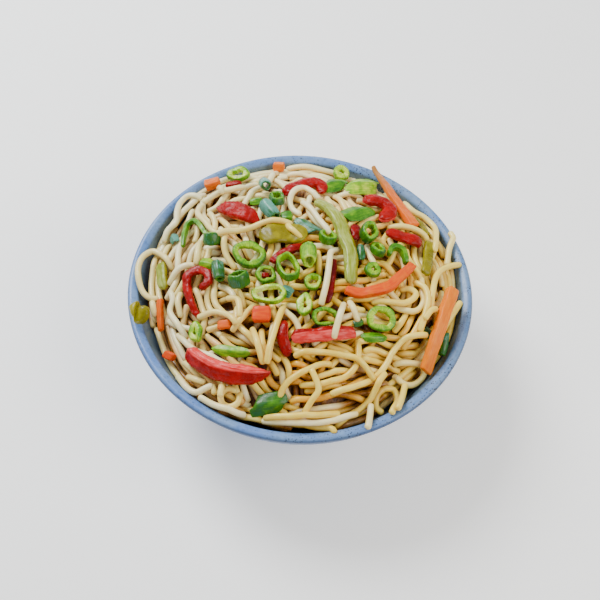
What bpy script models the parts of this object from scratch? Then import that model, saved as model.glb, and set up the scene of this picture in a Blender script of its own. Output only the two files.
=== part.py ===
# A bowl of stir-fried noodles with peppers, carrot and spring onion.
# Metres, +Z up. The origin is the middle of the foot, on the table, and +Y is the far side.
import math
import random

import bmesh
import bpy
from mathutils import Matrix, Vector
from mathutils.bvhtree import BVHTree

MM = 0.001

# The stoneware bowl.
RIM_RADIUS = 82.5 * MM
BOWL_HEIGHT = 54 * MM
LIP_WIDTH = 4.2 * MM
OUTSIDE_LEAN = 0.22
OUTSIDE_TURN_IN = 11.5
INSIDE_LEAN = 0.4
INSIDE_TURN_IN = 8
WALL_DEPTH = 43 * MM
FLOOR_MIDDLE = 7.6 * MM
FOOT_RADIUS = 38.5 * MM
FOOT_WIDTH = 5 * MM
FOOT_RECESS = 3.6 * MM
BOWL_SIDES = 56

# The heap of noodles. Its edge lies lower against the wall at two places, and higher at two.
HEAP_RISE = 16 * MM
HEAP_ROUNDNESS = 2.6
EDGE_DROP = 5 * MM
EDGE_CHANGES = (  # bearing and spread in degrees, extra depth
    (-155, 22, 4 * MM),
    (-45, 22, 7 * MM),
    (126, 20, -4 * MM),
    (25, 34, -2 * MM),
)
HEAP_RIPPLE = 0.7 * MM
RIPPLE_LENGTH = 21 * MM
WALL_GAP = 0.9 * MM

# A cooked noodle, and how the strands lie on the heap.
NOODLE_RADIUS = 1.5 * MM
STRANDS = 26
STRAND_LENGTHS = (50 * MM, 95 * MM)
SHORTEST_STRAND = 24 * MM
STRAND_STEP = 1.5 * MM
POINT_EVERY = 3
STRAND_SINK = 0.5
CROSSING_RISE = 1.75
STRAND_CLEARANCE = 0.75 * MM
STRAND_SEED = 31
MOST_TRIES = 1500
HIGHEST_STRAND = 6.5 * MM
CROWDED_WITHIN = 3.4 * MM
MOST_CROWDED = 0.22

# Spacing between a vegetable piece and what it rests on.
REST_GAP = 0.35 * MM
LIFT_STEP = 0.25 * MM
STATION_EVERY = 6.5 * MM
RING_SIDES = 11

# Strips follow a route over the heap: where it starts and its heading in plan, then arcs of
# (length, turn). Millimetres and degrees. "ends" scales the section at the first and last station.
PEPPER, STICK, LEAF = "pepper", "stick", "leaf"
STRIPS = (
    dict(name="red_pepper_crescent", start=(-48, -42), heading=-50, arcs=((41, 62),), section=PEPPER,
         width=9.5, thick=6.0, roll=-24, ends=(0.75, 0.4), colour="red_pepper"),
    dict(name="red_pepper_pod", start=(-43.5, 37), heading=-20, arcs=((26, -24),), section=PEPPER,
         width=9.5, thick=4.2, roll=0, ends=(0.55, 0.45), colour="red_pepper"),
    dict(name="red_pepper_top", start=(-10, 45), heading=62, arcs=((12, -18), (8, -50), (9, -150)),
         section=PEPPER, width=5.5, thick=3.6, roll=0, ends=(0.9, 0.7), colour="red_pepper"),
    dict(name="red_pepper_hook", start=(-46, -26), heading=122, section=PEPPER,
         arcs=((21, -22), (6, -95), (6, -45), (7, -80), (4, -60)), width=4.2, thick=3.2, roll=0,
         ends=(0.6, 0.8), colour="red_pepper"),
    dict(name="red_pepper_curl", start=(29.4, 44.6), heading=50, arcs=((7, -50), (12, -110), (7, -70)),
         section=PEPPER, width=6.0, thick=4.4, roll=0, ends=(0.8, 0.8), colour="red_pepper"),
    dict(name="red_pepper_chip", start=(24, 27), heading=-88, arcs=((10, 10),), section=PEPPER,
         width=5.0, thick=3.0, roll=0, ends=(0.8, 0.7), below=True, colour="red_pepper"),
    dict(name="red_pepper_under", start=(39, 26), heading=-8, arcs=((18, 6),), section=PEPPER,
         width=7.0, thick=3.2, roll=0, ends=(0.7, 0.85), below=True, colour="red_pepper"),
    dict(name="red_pepper_thread", start=(2, 10.5), heading=186, arcs=((20, 52),), section=PEPPER,
         width=3.0, thick=2.6, roll=0, ends=(0.6, 0.8), below=True, colour="red_pepper"),
    dict(name="red_pepper_deep", start=(14, 4), heading=-90, arcs=((24, -8),), section=PEPPER,
         width=4.6, thick=2.6, roll=0, ends=(0.8, 0.6), below=True, colour="red_pepper"),
    dict(name="red_pepper_bar", start=(-3, -38), heading=4, arcs=((29, 16),), section=PEPPER,
         width=6.6, thick=4.6, roll=-15, ends=(0.95, 0.8), colour="red_pepper"),
    dict(name="red_pepper_fold", start=(-6.5, -30), heading=-112, arcs=((17, 66),), section=PEPPER,
         width=5.2, thick=3.4, roll=0, ends=(0.5, 0.8), colour="red_pepper"),
    dict(name="carrot_cube_left", start=(-50.5, 54.5), heading=6, arcs=((7.5, 0),), section=STICK,
         width=6.0, thick=4.6, roll=0, ends=(1, 1), colour="carrot"),
    dict(name="carrot_cube_top", start=(-18, 71.5), heading=-4, arcs=((6, 0),), section=STICK,
         width=4.6, thick=4.4, roll=0, ends=(1, 1), colour="carrot"),
    dict(name="carrot_chunk", start=(-20.5, -28), heading=2, arcs=((8, 0),), section=STICK,
         width=7.2, thick=4.8, roll=0, ends=(1, 1), colour="carrot"),
    dict(name="carrot_long", start=(53, 34.4), heading=119, arcs=((45, -5),), section=STICK,
         width=6.4, thick=3.6, roll=0, ends=(1, 0.36), rise_to=10.5, colour="carrot"),
    dict(name="carrot_curve", start=(20, -12.5), heading=-14, arcs=((12, 28), (11, 34), (18, 12)),
         section=STICK, width=4.8, thick=4.0, roll=0, ends=(0.75, 0.9), colour="carrot"),
    dict(name="carrot_baton", start=(70.6, -2.2), heading=-106, arcs=((41, -2),), section=STICK,
         width=5.6, thick=4.4, roll=0, ends=(1, 1), colour="carrot"),
    dict(name="carrot_sliver", start=(-65, -13), heading=-86, arcs=((15, 6),), section=STICK,
         width=2.8, thick=2.6, roll=0, ends=(1, 0.8), colour="carrot"),
    dict(name="green_pepper_hook", start=(4.6, 37.5), heading=-14, arcs=((11, -44), (10, -12), (32, -20)),
         section=PEPPER, width=7.2, thick=4.6, roll=20, ends=(0.8, 0.75), colour="green_pepper"),
    dict(name="green_pepper_wide", start=(-19, 14), heading=36, arcs=((20, -56),), section=PEPPER,
         width=8.6, thick=3.2, roll=0, ends=(0.7, 0.8), colour="green_pepper"),
    dict(name="green_pepper_outer", start=(54, 42.5), heading=-50, arcs=((12, -16),), section=PEPPER,
         width=4.6, thick=3.0, roll=0, ends=(0.8, 0.8), colour="green_pepper"),
    dict(name="green_pepper_upright", start=(61, 28), heading=-92, arcs=((23, -8),), section=PEPPER,
         width=5.2, thick=3.4, roll=0, ends=(0.85, 0.9), colour="green_pepper"),
    dict(name="green_pepper_rim", start=(-79, -22), heading=-10, arcs=((11.5, -4),), section=PEPPER,
         width=8.6, thick=6.4, roll=0, ends=(0.6, 0.95), rise_from=5.6, colour="green_pepper"),
    dict(name="green_pepper_pale", start=(-67.5, 8), heading=-82, arcs=((16, 8),), section=PEPPER,
         width=5.8, thick=3.4, roll=0, ends=(0.6, 0.6), colour="green_pepper"),
    dict(name="onion_leaf_dark", start=(-3, 27.4), heading=-44, arcs=((11.5, 8),), section=LEAF,
         width=6.2, thick=2.2, roll=0, ends=(0.6, 0.9), colour="spring_onion"),
    dict(name="onion_leaf_shade", start=(27.4, 14.6), heading=-94, arcs=((8.5, 10),), section=LEAF,
         width=4.0, thick=2.0, roll=0, ends=(0.6, 0.6), colour="spring_onion"),
    dict(name="onion_leaf_bright", start=(17.5, 30.5), heading=30, arcs=((18, 14),), section=LEAF,
         width=7.0, thick=2.8, roll=0, ends=(0.4, 0.2), colour="spring_onion"),
    dict(name="onion_leaf_far", start=(10.6, 55.5), heading=34, arcs=((9, -14),), section=LEAF,
         width=6.4, thick=2.8, roll=0, ends=(0.7, 0.6), colour="spring_onion"),
    dict(name="onion_leaf_pale", start=(19, 56), heading=22, arcs=((18, 10),), section=LEAF,
         width=8.4, thick=3.2, roll=0, ends=(0.3, 0.6), colour="spring_onion"),
    dict(name="onion_arch", start=(-57.3, 13), heading=92, arcs=((14, -8), (6, -140), (12, -8)),
         section=STICK, width=2.2, thick=2.6, roll=0, ends=(0.8, 1), colour="spring_onion"),
    dict(name="onion_arc", start=(40.6, 11), heading=92, arcs=((3, -20), (8.5, -145), (5.5, -8)),
         section=STICK, width=1.6, thick=3.2, roll=0, ends=(1, 1), colour="spring_onion"),
    dict(name="onion_slice", start=(-38, -42.5), heading=-12, arcs=((17, 10),), section=LEAF,
         width=4.2, thick=1.8, roll=0, ends=(0.3, 0.5), colour="spring_onion"),
    dict(name="onion_fold", start=(-17.5, -67), heading=12, arcs=((14, -10),), section=LEAF,
         width=8.6, thick=3.4, roll=0, ends=(0.8, 0.4), colour="spring_onion"),
    dict(name="onion_strip_right", start=(29.5, -33.5), heading=12, arcs=((11, 8),), section=LEAF,
         width=4.6, thick=2.0, roll=0, ends=(0.6, 0.4), colour="spring_onion"),
    dict(name="onion_over_carrot", start=(59, -21.5), heading=-36, arcs=((9, -10),), section=LEAF,
         width=3.6, thick=1.6, roll=0, ends=(0.7, 0.7), colour="spring_onion"),
)

# Rings and short tubes of spring onion: middle, radii along and across the heading, wall, height.
# "lean" tips the ring's axis from upright towards its heading, so 90 is a tube that lies down.
RINGS = (
    dict(name="onion_ring_wide", middle=(-25, 3), heading=-8, radii=(7.4, 6.0), wall=1.4, high=3.6, lean=8),
    dict(name="onion_tube_green", middle=(-28.3, -12.2), heading=98, radii=(4.1, 4.3), wall=1.2, high=6.5,
         lean=34),
    dict(name="onion_loop", middle=(-14.5, -17.5), heading=4, radii=(7.2, 4.6), wall=1.5, high=2.8, lean=0),
    dict(name="onion_loop_small", middle=(-16.5, -7.2), heading=0, radii=(4.2, 3.7), wall=1.2, high=2.8,
         lean=6),
    dict(name="onion_ring_tall", middle=(-6.5, -4), heading=-80, radii=(8.4, 4.4), wall=1.3, high=4.0,
         lean=-16),
    dict(name="onion_tube_pale", middle=(2.5, 2.5), heading=-86, radii=(3.3, 3.0), wall=1.2, high=11.5,
         lean=80),
    dict(name="onion_ring_yellow", middle=(5.3, -9.8), heading=96, radii=(3.7, 3.4), wall=1.3, high=3.0,
         lean=12),
    dict(name="onion_ring_lime", middle=(2.2, -22.5), heading=88, radii=(4.6, 2.6), wall=2.2, high=3.6,
         lean=0),
    dict(name="onion_cup", middle=(12, -28.3), heading=-88, radii=(3.6, 5.4), wall=1.2, high=4.4, lean=26),
    dict(name="onion_ring_back", middle=(11.2, 15.3), heading=90, radii=(3.7, 3.6), wall=1.1, high=4.6,
         lean=18),
    dict(name="onion_ring_narrow", middle=(30.8, 20.5), heading=-80, radii=(4.4, 3.5), wall=1.3, high=4.2,
         lean=14),
    dict(name="onion_ring_pair", middle=(35.2, 11.7), heading=-66, radii=(3.8, 2.6), wall=1.3, high=3.6,
         lean=-8),
    dict(name="onion_ring_button", middle=(32.8, 0.4), heading=0, radii=(2.9, 2.9), wall=2.6, high=3.0,
         lean=0),
    dict(name="onion_ring_rim", middle=(17, 70), heading=90, radii=(2.9, 3.2), wall=1.7, high=4.0, lean=10),
    dict(name="onion_ring_left", middle=(-35, 62), heading=80, radii=(3.2, 4.4), wall=2.2, high=4.0,
         lean=10),
    dict(name="onion_tube_teal", middle=(-20.8, 49), heading=-84, radii=(2.5, 2.5), wall=1.2, high=9.5,
         lean=66),
    dict(name="onion_ring_dark", middle=(-14.3, 39.4), heading=86, radii=(4.6, 3.2), wall=1.3, high=3.6,
         lean=10),
    dict(name="onion_tube_long", middle=(-17.4, 30.8), heading=-54, radii=(2.7, 2.6), wall=1.2, high=11.5,
         lean=86),
    dict(name="onion_block", middle=(-43.3, 12.3), heading=84, radii=(3.2, 3.0), wall=1.5, high=6.0,
         lean=40),
    dict(name="onion_tube_left", middle=(-38.8, -5.5), heading=-76, radii=(2.4, 2.4), wall=1.2, high=10,
         lean=84),
    dict(name="onion_oval", middle=(-46.6, -33.6), heading=100, radii=(4.0, 2.2), wall=2.1, high=3.0,
         lean=0),
    dict(name="onion_ring_right", middle=(37.6, -24.3), heading=10, radii=(5.8, 5.0), wall=1.9, high=3.2,
         lean=-6),
    dict(name="onion_tube_right", middle=(67.9, -27.6), heading=-84, radii=(1.9, 1.9), wall=1.1, high=11,
         lean=84),
)

# Scraps too small to be pieces of their own, which are one body with the noodles they stick to.
SCRAPS = (
    dict(start=(-40.5, 53.5), heading=4, arcs=((8, 0),), section=PEPPER, width=3.8, thick=3.0,
         ends=(0.7, 0.7)),
    dict(start=(-18, -7.4), heading=0, arcs=((3.2, 0),), section=STICK, width=2.6, thick=3.8,
         ends=(0.8, 0.8)),
    dict(start=(-60, -38.6), heading=-38, arcs=((6, 0),), section=STICK, width=4.0, thick=3.4,
         ends=(0.8, 0.8)),
    dict(start=(-36, -31.5), heading=-5, arcs=((6, 0),), section=STICK, width=4.0, thick=3.0,
         ends=(0.9, 0.8)),
    dict(start=(-27.5, 40.5), heading=6, arcs=((6, 0),), section=LEAF, width=5.0, thick=2.4,
         ends=(0.7, 0.8)),
    dict(start=(-11.5, 28), heading=10, arcs=((5.5, 0),), section=STICK, width=5.0, thick=3.2,
         ends=(0.8, 0.8)),
    dict(start=(-47.8, 2.5), heading=-20, arcs=((6, 0),), section=LEAF, width=5.6, thick=2.6,
         ends=(0.8, 0.7)),
    dict(start=(25, -27.8), heading=24, arcs=((4.6, 0),), section=LEAF, width=3.4, thick=1.8,
         ends=(0.7, 0.7)),
    dict(start=(-64, 24.5), heading=-70, arcs=((6, 0),), section=LEAF, width=4.4, thick=2.4,
         ends=(0.8, 0.8)),
)
SCRAP_SINK = -0.8 * MM

COLOURS = {  # base colour, roughness
    "bowl": ((0.33, 0.42, 0.53, 1), 0.28),
    "noodle": ((0.84, 0.74, 0.53, 1), 0.42),
    "red_pepper": ((0.72, 0.05, 0.03, 1), 0.3),
    "green_pepper": ((0.43, 0.47, 0.09, 1), 0.35),
    "carrot": ((0.9, 0.38, 0.05, 1), 0.45),
    "spring_onion": ((0.2, 0.48, 0.1, 1), 0.4),
}


def material(name):
    found = bpy.data.materials.get(name)
    if found:
        return found
    made = bpy.data.materials.new(name)
    made.use_nodes = True
    shader = made.node_tree.nodes["Principled BSDF"]
    colour, roughness = COLOURS[name]
    shader.inputs["Base Color"].default_value = colour
    shader.inputs["Roughness"].default_value = roughness
    made.diffuse_color = colour
    return made


def add_object(name, data, collection, colour):
    made = bpy.data.objects.new(name, data)
    collection.objects.link(made)
    made.data.materials.append(material(colour))
    return made


def plain_mesh(source, name):
    """The object as its modifiers leave it, as a mesh with its doubles merged and in world space."""
    bpy.context.view_layer.update()
    graph = bpy.context.evaluated_depsgraph_get()
    made = bpy.data.meshes.new_from_object(source.evaluated_get(graph))
    made.name = name
    made.transform(source.matrix_world)
    made.materials.clear()
    cleaner = bmesh.new()
    cleaner.from_mesh(made)
    bmesh.ops.remove_doubles(cleaner, verts=cleaner.verts, dist=0.00001)
    bmesh.ops.recalc_face_normals(cleaner, faces=cleaner.faces)
    cleaner.to_mesh(made)
    cleaner.free()
    return made


def turned(name, profile, collection, colour):
    """A profile of (radius, height) points turned round the Z axis."""
    outline = bpy.data.meshes.new(name)
    edges = [(i, i + 1) for i in range(len(profile) - 1)]
    outline.from_pydata([(r, 0, z) for r, z in profile], edges, [])
    made = add_object(name, outline, collection, colour)
    screw = made.modifiers.new("Turn", "SCREW")
    screw.steps = screw.render_steps = BOWL_SIDES
    screw.use_merge_vertices = True
    screw.merge_threshold = 0.00005
    screw.use_smooth_shade = True
    return made


def inner_radius(depth):
    """The bowl's inside radius at this depth below the rim."""
    return RIM_RADIUS - LIP_WIDTH - INSIDE_LEAN * depth - INSIDE_TURN_IN * depth**2


def outer_radius(depth):
    return RIM_RADIUS - OUTSIDE_LEAN * depth - OUTSIDE_TURN_IN * depth**2


def floor_height(radius):
    """The bowl's inside floor, which curves up into the wall."""
    share = radius / inner_radius(WALL_DEPTH)
    return FLOOR_MIDDLE + (BOWL_HEIGHT - WALL_DEPTH - FLOOR_MIDDLE) * share**4


def bowl_profile():
    top = BOWL_HEIGHT
    floor_radius = inner_radius(WALL_DEPTH)
    inside = [(floor_radius * s, floor_height(floor_radius * s)) for s in (0, 0.55, 0.82, 1)]
    inside += [(inner_radius(d * MM), top - d * MM) for d in (30, 17, 7, 1.6)]
    lip = [(RIM_RADIUS - 0.72 * LIP_WIDTH, top - 0.3 * MM), (RIM_RADIUS - 0.38 * LIP_WIDTH, top),
           (RIM_RADIUS - 0.1 * LIP_WIDTH, top - 0.6 * MM), (RIM_RADIUS, top - 1.9 * MM)]
    outside = [(outer_radius(d * MM), top - d * MM) for d in (9, 19, 31, 44)]
    foot_inside = FOOT_RADIUS - FOOT_WIDTH
    foot = [(FOOT_RADIUS + 2.6 * MM, 4.4 * MM), (FOOT_RADIUS, 0), (foot_inside, 0),
            (foot_inside - 0.8 * MM, FOOT_RECESS), (0, FOOT_RECESS)]
    return inside + lip + outside + foot


def edge_drop(bearing):
    """How far below the rim the noodles meet the wall, at this bearing in degrees."""
    extra = 0
    for middle, spread, depth in EDGE_CHANGES:
        off = (bearing - middle + 180) % 360 - 180
        extra += depth * math.exp(-((off / spread) ** 2))
    return EDGE_DROP + extra


def edge_radius(bearing):
    return inner_radius(edge_drop(bearing)) - WALL_GAP


def heap_height(x, y):
    """The smooth top of the heap that the vegetables are fitted to."""
    bearing = math.degrees(math.atan2(y, x))
    out = math.hypot(x, y) / edge_radius(bearing)
    ripple = math.sin(x / RIPPLE_LENGTH * math.tau) * math.cos(y / RIPPLE_LENGTH * math.tau + 1)
    ripple *= HEAP_RIPPLE * max(0, 1 - out**4)
    level = BOWL_HEIGHT + HEAP_RISE * (1 - min(out, 1.05) ** HEAP_ROUNDNESS)
    return level - edge_drop(bearing) * min(out, 1.05) ** 4 + ripple


def heap_normal(x, y, reach=2 * MM):
    slope_x = (heap_height(x + reach, y) - heap_height(x - reach, y)) / (2 * reach)
    slope_y = (heap_height(x, y + reach) - heap_height(x, y - reach)) / (2 * reach)
    return Vector((-slope_x, -slope_y, 1)).normalized()


def heap_core(collection):
    """A plain drum of unit size, shaped to the bowl inside below and to the heap above."""
    top = [(s, 1) for s in (0, 0.16, 0.32, 0.47, 0.61, 0.74, 0.86, 0.95, 1)]
    profile = top + [(1, 0.66), (1, 0.33), (1, 0), (0.8, 0), (0.5, 0), (0, 0)]
    drum = turned("heap_drum", profile, collection, "noodle")
    mesh = plain_mesh(drum, "noodles")
    bpy.data.objects.remove(drum)
    lowest = BOWL_HEIGHT - WALL_DEPTH + WALL_GAP
    for vertex in mesh.vertices:
        share, level = math.hypot(vertex.co.x, vertex.co.y), vertex.co.z
        angle = math.atan2(vertex.co.y, vertex.co.x)
        bearing = math.degrees(angle)
        if level > 0.99:
            radius = share * edge_radius(bearing)
            height = heap_height(radius * math.cos(angle), radius * math.sin(angle))
        elif level > 0.01:
            height = lowest + level * (BOWL_HEIGHT - edge_drop(bearing) - lowest)
            radius = inner_radius(BOWL_HEIGHT - height) - WALL_GAP
        else:
            radius = share * (inner_radius(WALL_DEPTH) - 1.4 * WALL_GAP)
            height = floor_height(radius) + 1.4 * WALL_GAP
        vertex.co = (radius * math.cos(angle), radius * math.sin(angle), height)
    return add_object("noodles", mesh, collection, "noodle")


def route(start, heading, arcs, every):
    """Plan points and headings along arcs of (length, turn), at most this far apart."""
    x, y = (v * MM for v in start)
    angle = math.radians(heading)
    points = [(x, y, angle)]
    for length, turn in arcs:
        steps = max(1, math.ceil(length * MM / every), math.ceil(abs(turn) / 34))
        for _ in range(steps):
            angle += math.radians(turn) / steps / 2
            x += math.cos(angle) * length * MM / steps
            y += math.sin(angle) * length * MM / steps
            angle += math.radians(turn) / steps / 2
            points.append((x, y, angle))
    return points


def section_outline(kind, width, thick):
    """(across, up) points of a strip's section, anticlockwise seen along the strip."""
    half = width / 2
    if kind == STICK:
        return [(-half, 0), (half, 0), (half, thick), (-half, thick)]
    if kind == PEPPER:
        return [(-half, 0), (0, 0.16 * thick), (half, 0), (0.9 * half, 0.58 * thick), (0, thick),
                (-0.9 * half, 0.58 * thick)]
    leaf = 1.1 * MM
    return [(-half, 0), (-half + leaf, 0), (0, thick - leaf), (half - leaf, 0), (half, 0), (0, thick)]


def strip_stations(spec):
    """(point, up, scale) at each station of a strip that lies on the heap."""
    points = route(spec["start"], spec["heading"], spec["arcs"], STATION_EVERY)
    first, last = spec["ends"]
    roll = math.radians(spec.get("roll", 0))
    stations = []
    for i, (x, y, angle) in enumerate(points):
        share = i / (len(points) - 1)
        raised = spec.get("rise_from", 0) * (1 - share) ** 2 + spec.get("rise_to", 0) * share**2
        up = heap_normal(x, y)
        across = up.cross(Vector((math.cos(angle), math.sin(angle), 0))).normalized()
        near_first, near_last = max(0, 1 - 3 * share), max(0, 3 * share - 2)
        scale = 1 - (1 - first) * near_first**2 - (1 - last) * near_last**2
        point = Vector((x, y, heap_height(x, y) + raised * MM))
        stations.append((point, up * math.cos(roll) + across * math.sin(roll), scale))
    return stations


def section_curve(kind, width, thick, guides):
    """A strip's section as a closed flat curve: X runs across the strip and Y is up."""
    curve = bpy.data.curves.new("section", "CURVE")
    spline = curve.splines.new("POLY")
    outline = section_outline(kind, width * MM, thick * MM)
    spline.points.add(len(outline) - 1)
    for spline_point, (across, up) in zip(spline.points, outline):
        spline_point.co = (across, up, 0, 1)
    spline.use_cyclic_u = True
    made = bpy.data.objects.new("section", curve)
    guides.objects.link(made)
    return made


def strip_mesh(name, spec, guides):
    """The section drawn along the strip's route, and turned at each point to face along its up."""
    section = section_curve(spec["section"], spec["width"], spec["thick"], guides)
    curve = bpy.data.curves.new(name, "CURVE")
    curve.dimensions = "3D"
    curve.twist_mode = "Z_UP"
    curve.bevel_mode = "OBJECT"
    curve.bevel_object = section
    curve.use_fill_caps = True
    stations = strip_stations(spec)
    places = [point for point, _, _ in stations]
    spline = curve.splines.new("POLY")
    spline.points.add(len(stations) - 1)
    for i, (point, up, scale) in enumerate(stations):
        before, after = places[max(0, i - 1)], places[min(len(places) - 1, i + 1)]
        along = (after - before).normalized()
        level = along.cross(Vector((0, 0, 1))).normalized()
        upright = level.cross(along)
        spline.points[i].co = (*point, 1)
        spline.points[i].radius = scale
        spline.points[i].tilt = math.atan2(up.dot(level), up.dot(upright))
    strip = bpy.data.objects.new(name, curve)
    guides.objects.link(strip)
    mesh = plain_mesh(strip, name)
    bpy.data.objects.remove(strip)
    bpy.data.objects.remove(section)
    return mesh


def ring_mesh(name, spec, guides):
    """A rectangle turned round, narrowed to an oval, and leant over at its place on the heap."""
    x, y = (v * MM for v in spec["middle"])
    high, half_wall = spec["high"] * MM, spec["wall"] * MM / 2
    long_radius, short_radius = (v * MM for v in spec["radii"])
    inside, outside = long_radius - half_wall, long_radius + half_wall
    section = [(inside, 0, 0), (inside, 0, high), (outside, 0, high), (outside, 0, 0)]
    outline = bpy.data.meshes.new("section")
    outline.from_pydata(section, [(0, 1), (1, 2), (2, 3), (3, 0)], [])
    ring = bpy.data.objects.new(name, outline)
    guides.objects.link(ring)
    turn = ring.modifiers.new("Turn", "SCREW")
    turn.steps = turn.render_steps = RING_SIDES
    turn.use_merge_vertices = True
    turn.merge_threshold = 0.00005
    normal = heap_normal(x, y)
    heading, lean = math.radians(spec["heading"]), math.radians(spec["lean"])
    along = Vector((math.cos(heading), math.sin(heading), 0))
    along = (along - normal * along.dot(normal)).normalized()
    axis = normal * math.cos(lean) + along * math.sin(lean)
    forward = along * math.cos(lean) - normal * math.sin(lean)
    side = axis.cross(forward) * short_radius / long_radius
    turned_to = Matrix((forward, side, axis)).transposed().to_4x4()
    middle = Vector((x, y, heap_height(x, y))) - axis * high / 2
    ring.matrix_world = Matrix.Translation(middle) @ turned_to
    mesh = plain_mesh(ring, name)
    bpy.data.objects.remove(ring)
    return mesh


def lay(mesh, under):
    """Raises a piece until it is clear of everything already laid, with a gap below it."""
    body = bmesh.new()
    body.from_mesh(mesh)
    while True:
        lower = BVHTree.FromBMesh(body)
        bmesh.ops.translate(body, verts=body.verts, vec=(0, 0, REST_GAP))
        upper = BVHTree.FromBMesh(body)
        if not any(lower.overlap(other) or upper.overlap(other) for other in under):
            break
        bmesh.ops.translate(body, verts=body.verts, vec=(0, 0, LIFT_STEP - REST_GAP))
    body.to_mesh(mesh)
    body.free()


def smooth_shade(thing):
    thing.data.shade_smooth()
    thing.data.set_sharp_from_angle(angle=math.radians(38))


def tree_of(thing):
    body = bmesh.new()
    body.from_mesh(thing.data)
    bmesh.ops.triangulate(body, faces=body.faces)
    tree = BVHTree.FromBMesh(body)
    body.free()
    return tree


def lay_vegetables(parts, guides, core, bowl_tree):
    """The low strips, the rings, then the rest: each lies on the heap or on the pieces before it."""
    under = [bowl_tree, tree_of(core)]
    pieces = []
    first = [spec for spec in STRIPS if spec.get("below")]
    last = [spec for spec in STRIPS if not spec.get("below")]
    for spec in (*first, *RINGS, *last):
        make = ring_mesh if "middle" in spec else strip_mesh
        mesh = make(spec["name"], spec, guides)
        lay(mesh, under)
        piece = add_object(spec["name"], mesh, parts, spec.get("colour", "spring_onion"))
        smooth_shade(piece)
        under.append(tree_of(piece))
        pieces.append(piece)
    return pieces


def joined_tree(pieces):
    """One search tree over many meshes."""
    corners, faces = [], []
    for piece in pieces:
        first = len(corners)
        corners += [vertex.co.copy() for vertex in piece.data.vertices]
        faces += [[first + i for i in face.vertices] for face in piece.data.polygons]
    return BVHTree.FromPolygons(corners, faces)


def wander(draw):
    """A strand's route in plan: it bends at random and keeps off the wall."""
    bearing = draw.uniform(0, math.tau)
    out = math.sqrt(draw.uniform(0.02, 1)) * 0.96 * edge_radius(math.degrees(bearing))
    x, y = out * math.cos(bearing), out * math.sin(bearing)
    angle = bearing + math.pi / 2 + draw.gauss(0, 0.9)
    tight, phase = draw.uniform(0.01, 0.03), draw.uniform(0, math.tau)
    swing = draw.uniform(25, 60) * draw.choice((-1, 1))
    points = []
    for i in range(round(draw.uniform(*STRAND_LENGTHS) / STRAND_STEP)):
        points.append((x, y))
        room = edge_radius(math.degrees(math.atan2(y, x))) - 2.2 * NOODLE_RADIUS - math.hypot(x, y)
        inward = math.atan2(-y, -x)
        off = (inward - angle + math.pi) % math.tau - math.pi
        bend = swing * math.sin(phase + i * tight * math.tau) * STRAND_STEP
        if room < 12 * MM:
            bend += 0.5 * (1 - room / (12 * MM)) * off * 0.4
        angle += bend
        x += math.cos(angle) * STRAND_STEP
        y += math.sin(angle) * STRAND_STEP
    return points


def free_run(points, vegetables):
    """The longest stretch of a strand that stays low, in the bowl and clear of the vegetables."""
    runs, current = [], []
    for point in points:
        x, y, z = point
        inside = math.hypot(x, y) + NOODLE_RADIUS + WALL_GAP < inner_radius(max(0, BOWL_HEIGHT - z))
        low = z < heap_height(x, y) + HIGHEST_STRAND
        near = vegetables.find_nearest(point, NOODLE_RADIUS + STRAND_CLEARANCE)[0]
        if inside and low and not near:
            current.append(point)
        else:
            runs.append(current)
            current = []
    runs.append(current)
    return max(runs, key=len)


def strand_heights(plan, laid):
    """Rests a strand on the heap, and over each strand that it crosses."""
    heights = []
    for x, y in plan:
        z = heap_height(x, y) + STRAND_SINK * NOODLE_RADIUS
        for other_x, other_y, other_z in laid:
            if math.hypot(x - other_x, y - other_y) < 1.9 * NOODLE_RADIUS:
                z = max(z, other_z + CROSSING_RISE * NOODLE_RADIUS)
        heights.append(z)
    lowest = list(heights)
    for _ in range(12):
        padded = [heights[0]] + heights + [heights[-1]]
        smooth = [(a + b + c) / 3 for a, b, c in zip(padded, padded[1:], padded[2:])]
        heights = [max(low, s) for low, s in zip(lowest, smooth)]
    return [Vector((x, y, z)) for (x, y), z in zip(plan, heights)]


def crowding(points, laid):
    """The share of a strand that lies on or beside the strands before it."""
    beside = 0
    for point in points:
        beside += any(math.hypot(point.x - o.x, point.y - o.y) < CROWDED_WITHIN for o in laid)
    return beside / len(points)


def strand_object(name, points, collection):
    """One noodle: a round tube along its points, with its ends closed."""
    curve = bpy.data.curves.new(name, "CURVE")
    curve.dimensions = "3D"
    curve.bevel_depth = NOODLE_RADIUS
    curve.bevel_resolution = 1
    curve.use_fill_caps = True
    spline = curve.splines.new("POLY")
    kept = points[::POINT_EVERY] + ([points[-1]] if (len(points) - 1) % POINT_EVERY else [])
    spline.points.add(len(kept) - 1)
    for spline_point, point in zip(spline.points, kept):
        spline_point.co = (*point, 1)
    tube = add_object(name, curve, collection, "noodle")
    mesh = plain_mesh(tube, name)
    bpy.data.objects.remove(tube)
    return add_object(name, mesh, collection, "noodle")


def keep_largest_body(mesh):
    """Drops loose scraps and the skins of sealed hollows, which leaves one solid."""
    body = bmesh.new()
    body.from_mesh(mesh)
    unseen, islands = set(body.verts), []
    while unseen:
        island, front = set(), [unseen.pop()]
        while front:
            vertex = front.pop()
            island.add(vertex)
            for edge in vertex.link_edges:
                other = edge.other_vert(vertex)
                if other in unseen:
                    unseen.remove(other)
                    front.append(other)
        islands.append(island)
    islands.sort(key=len)
    for island in islands[:-1]:
        bmesh.ops.delete(body, geom=list(island), context="VERTS")
    body.to_mesh(mesh)
    body.free()


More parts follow.
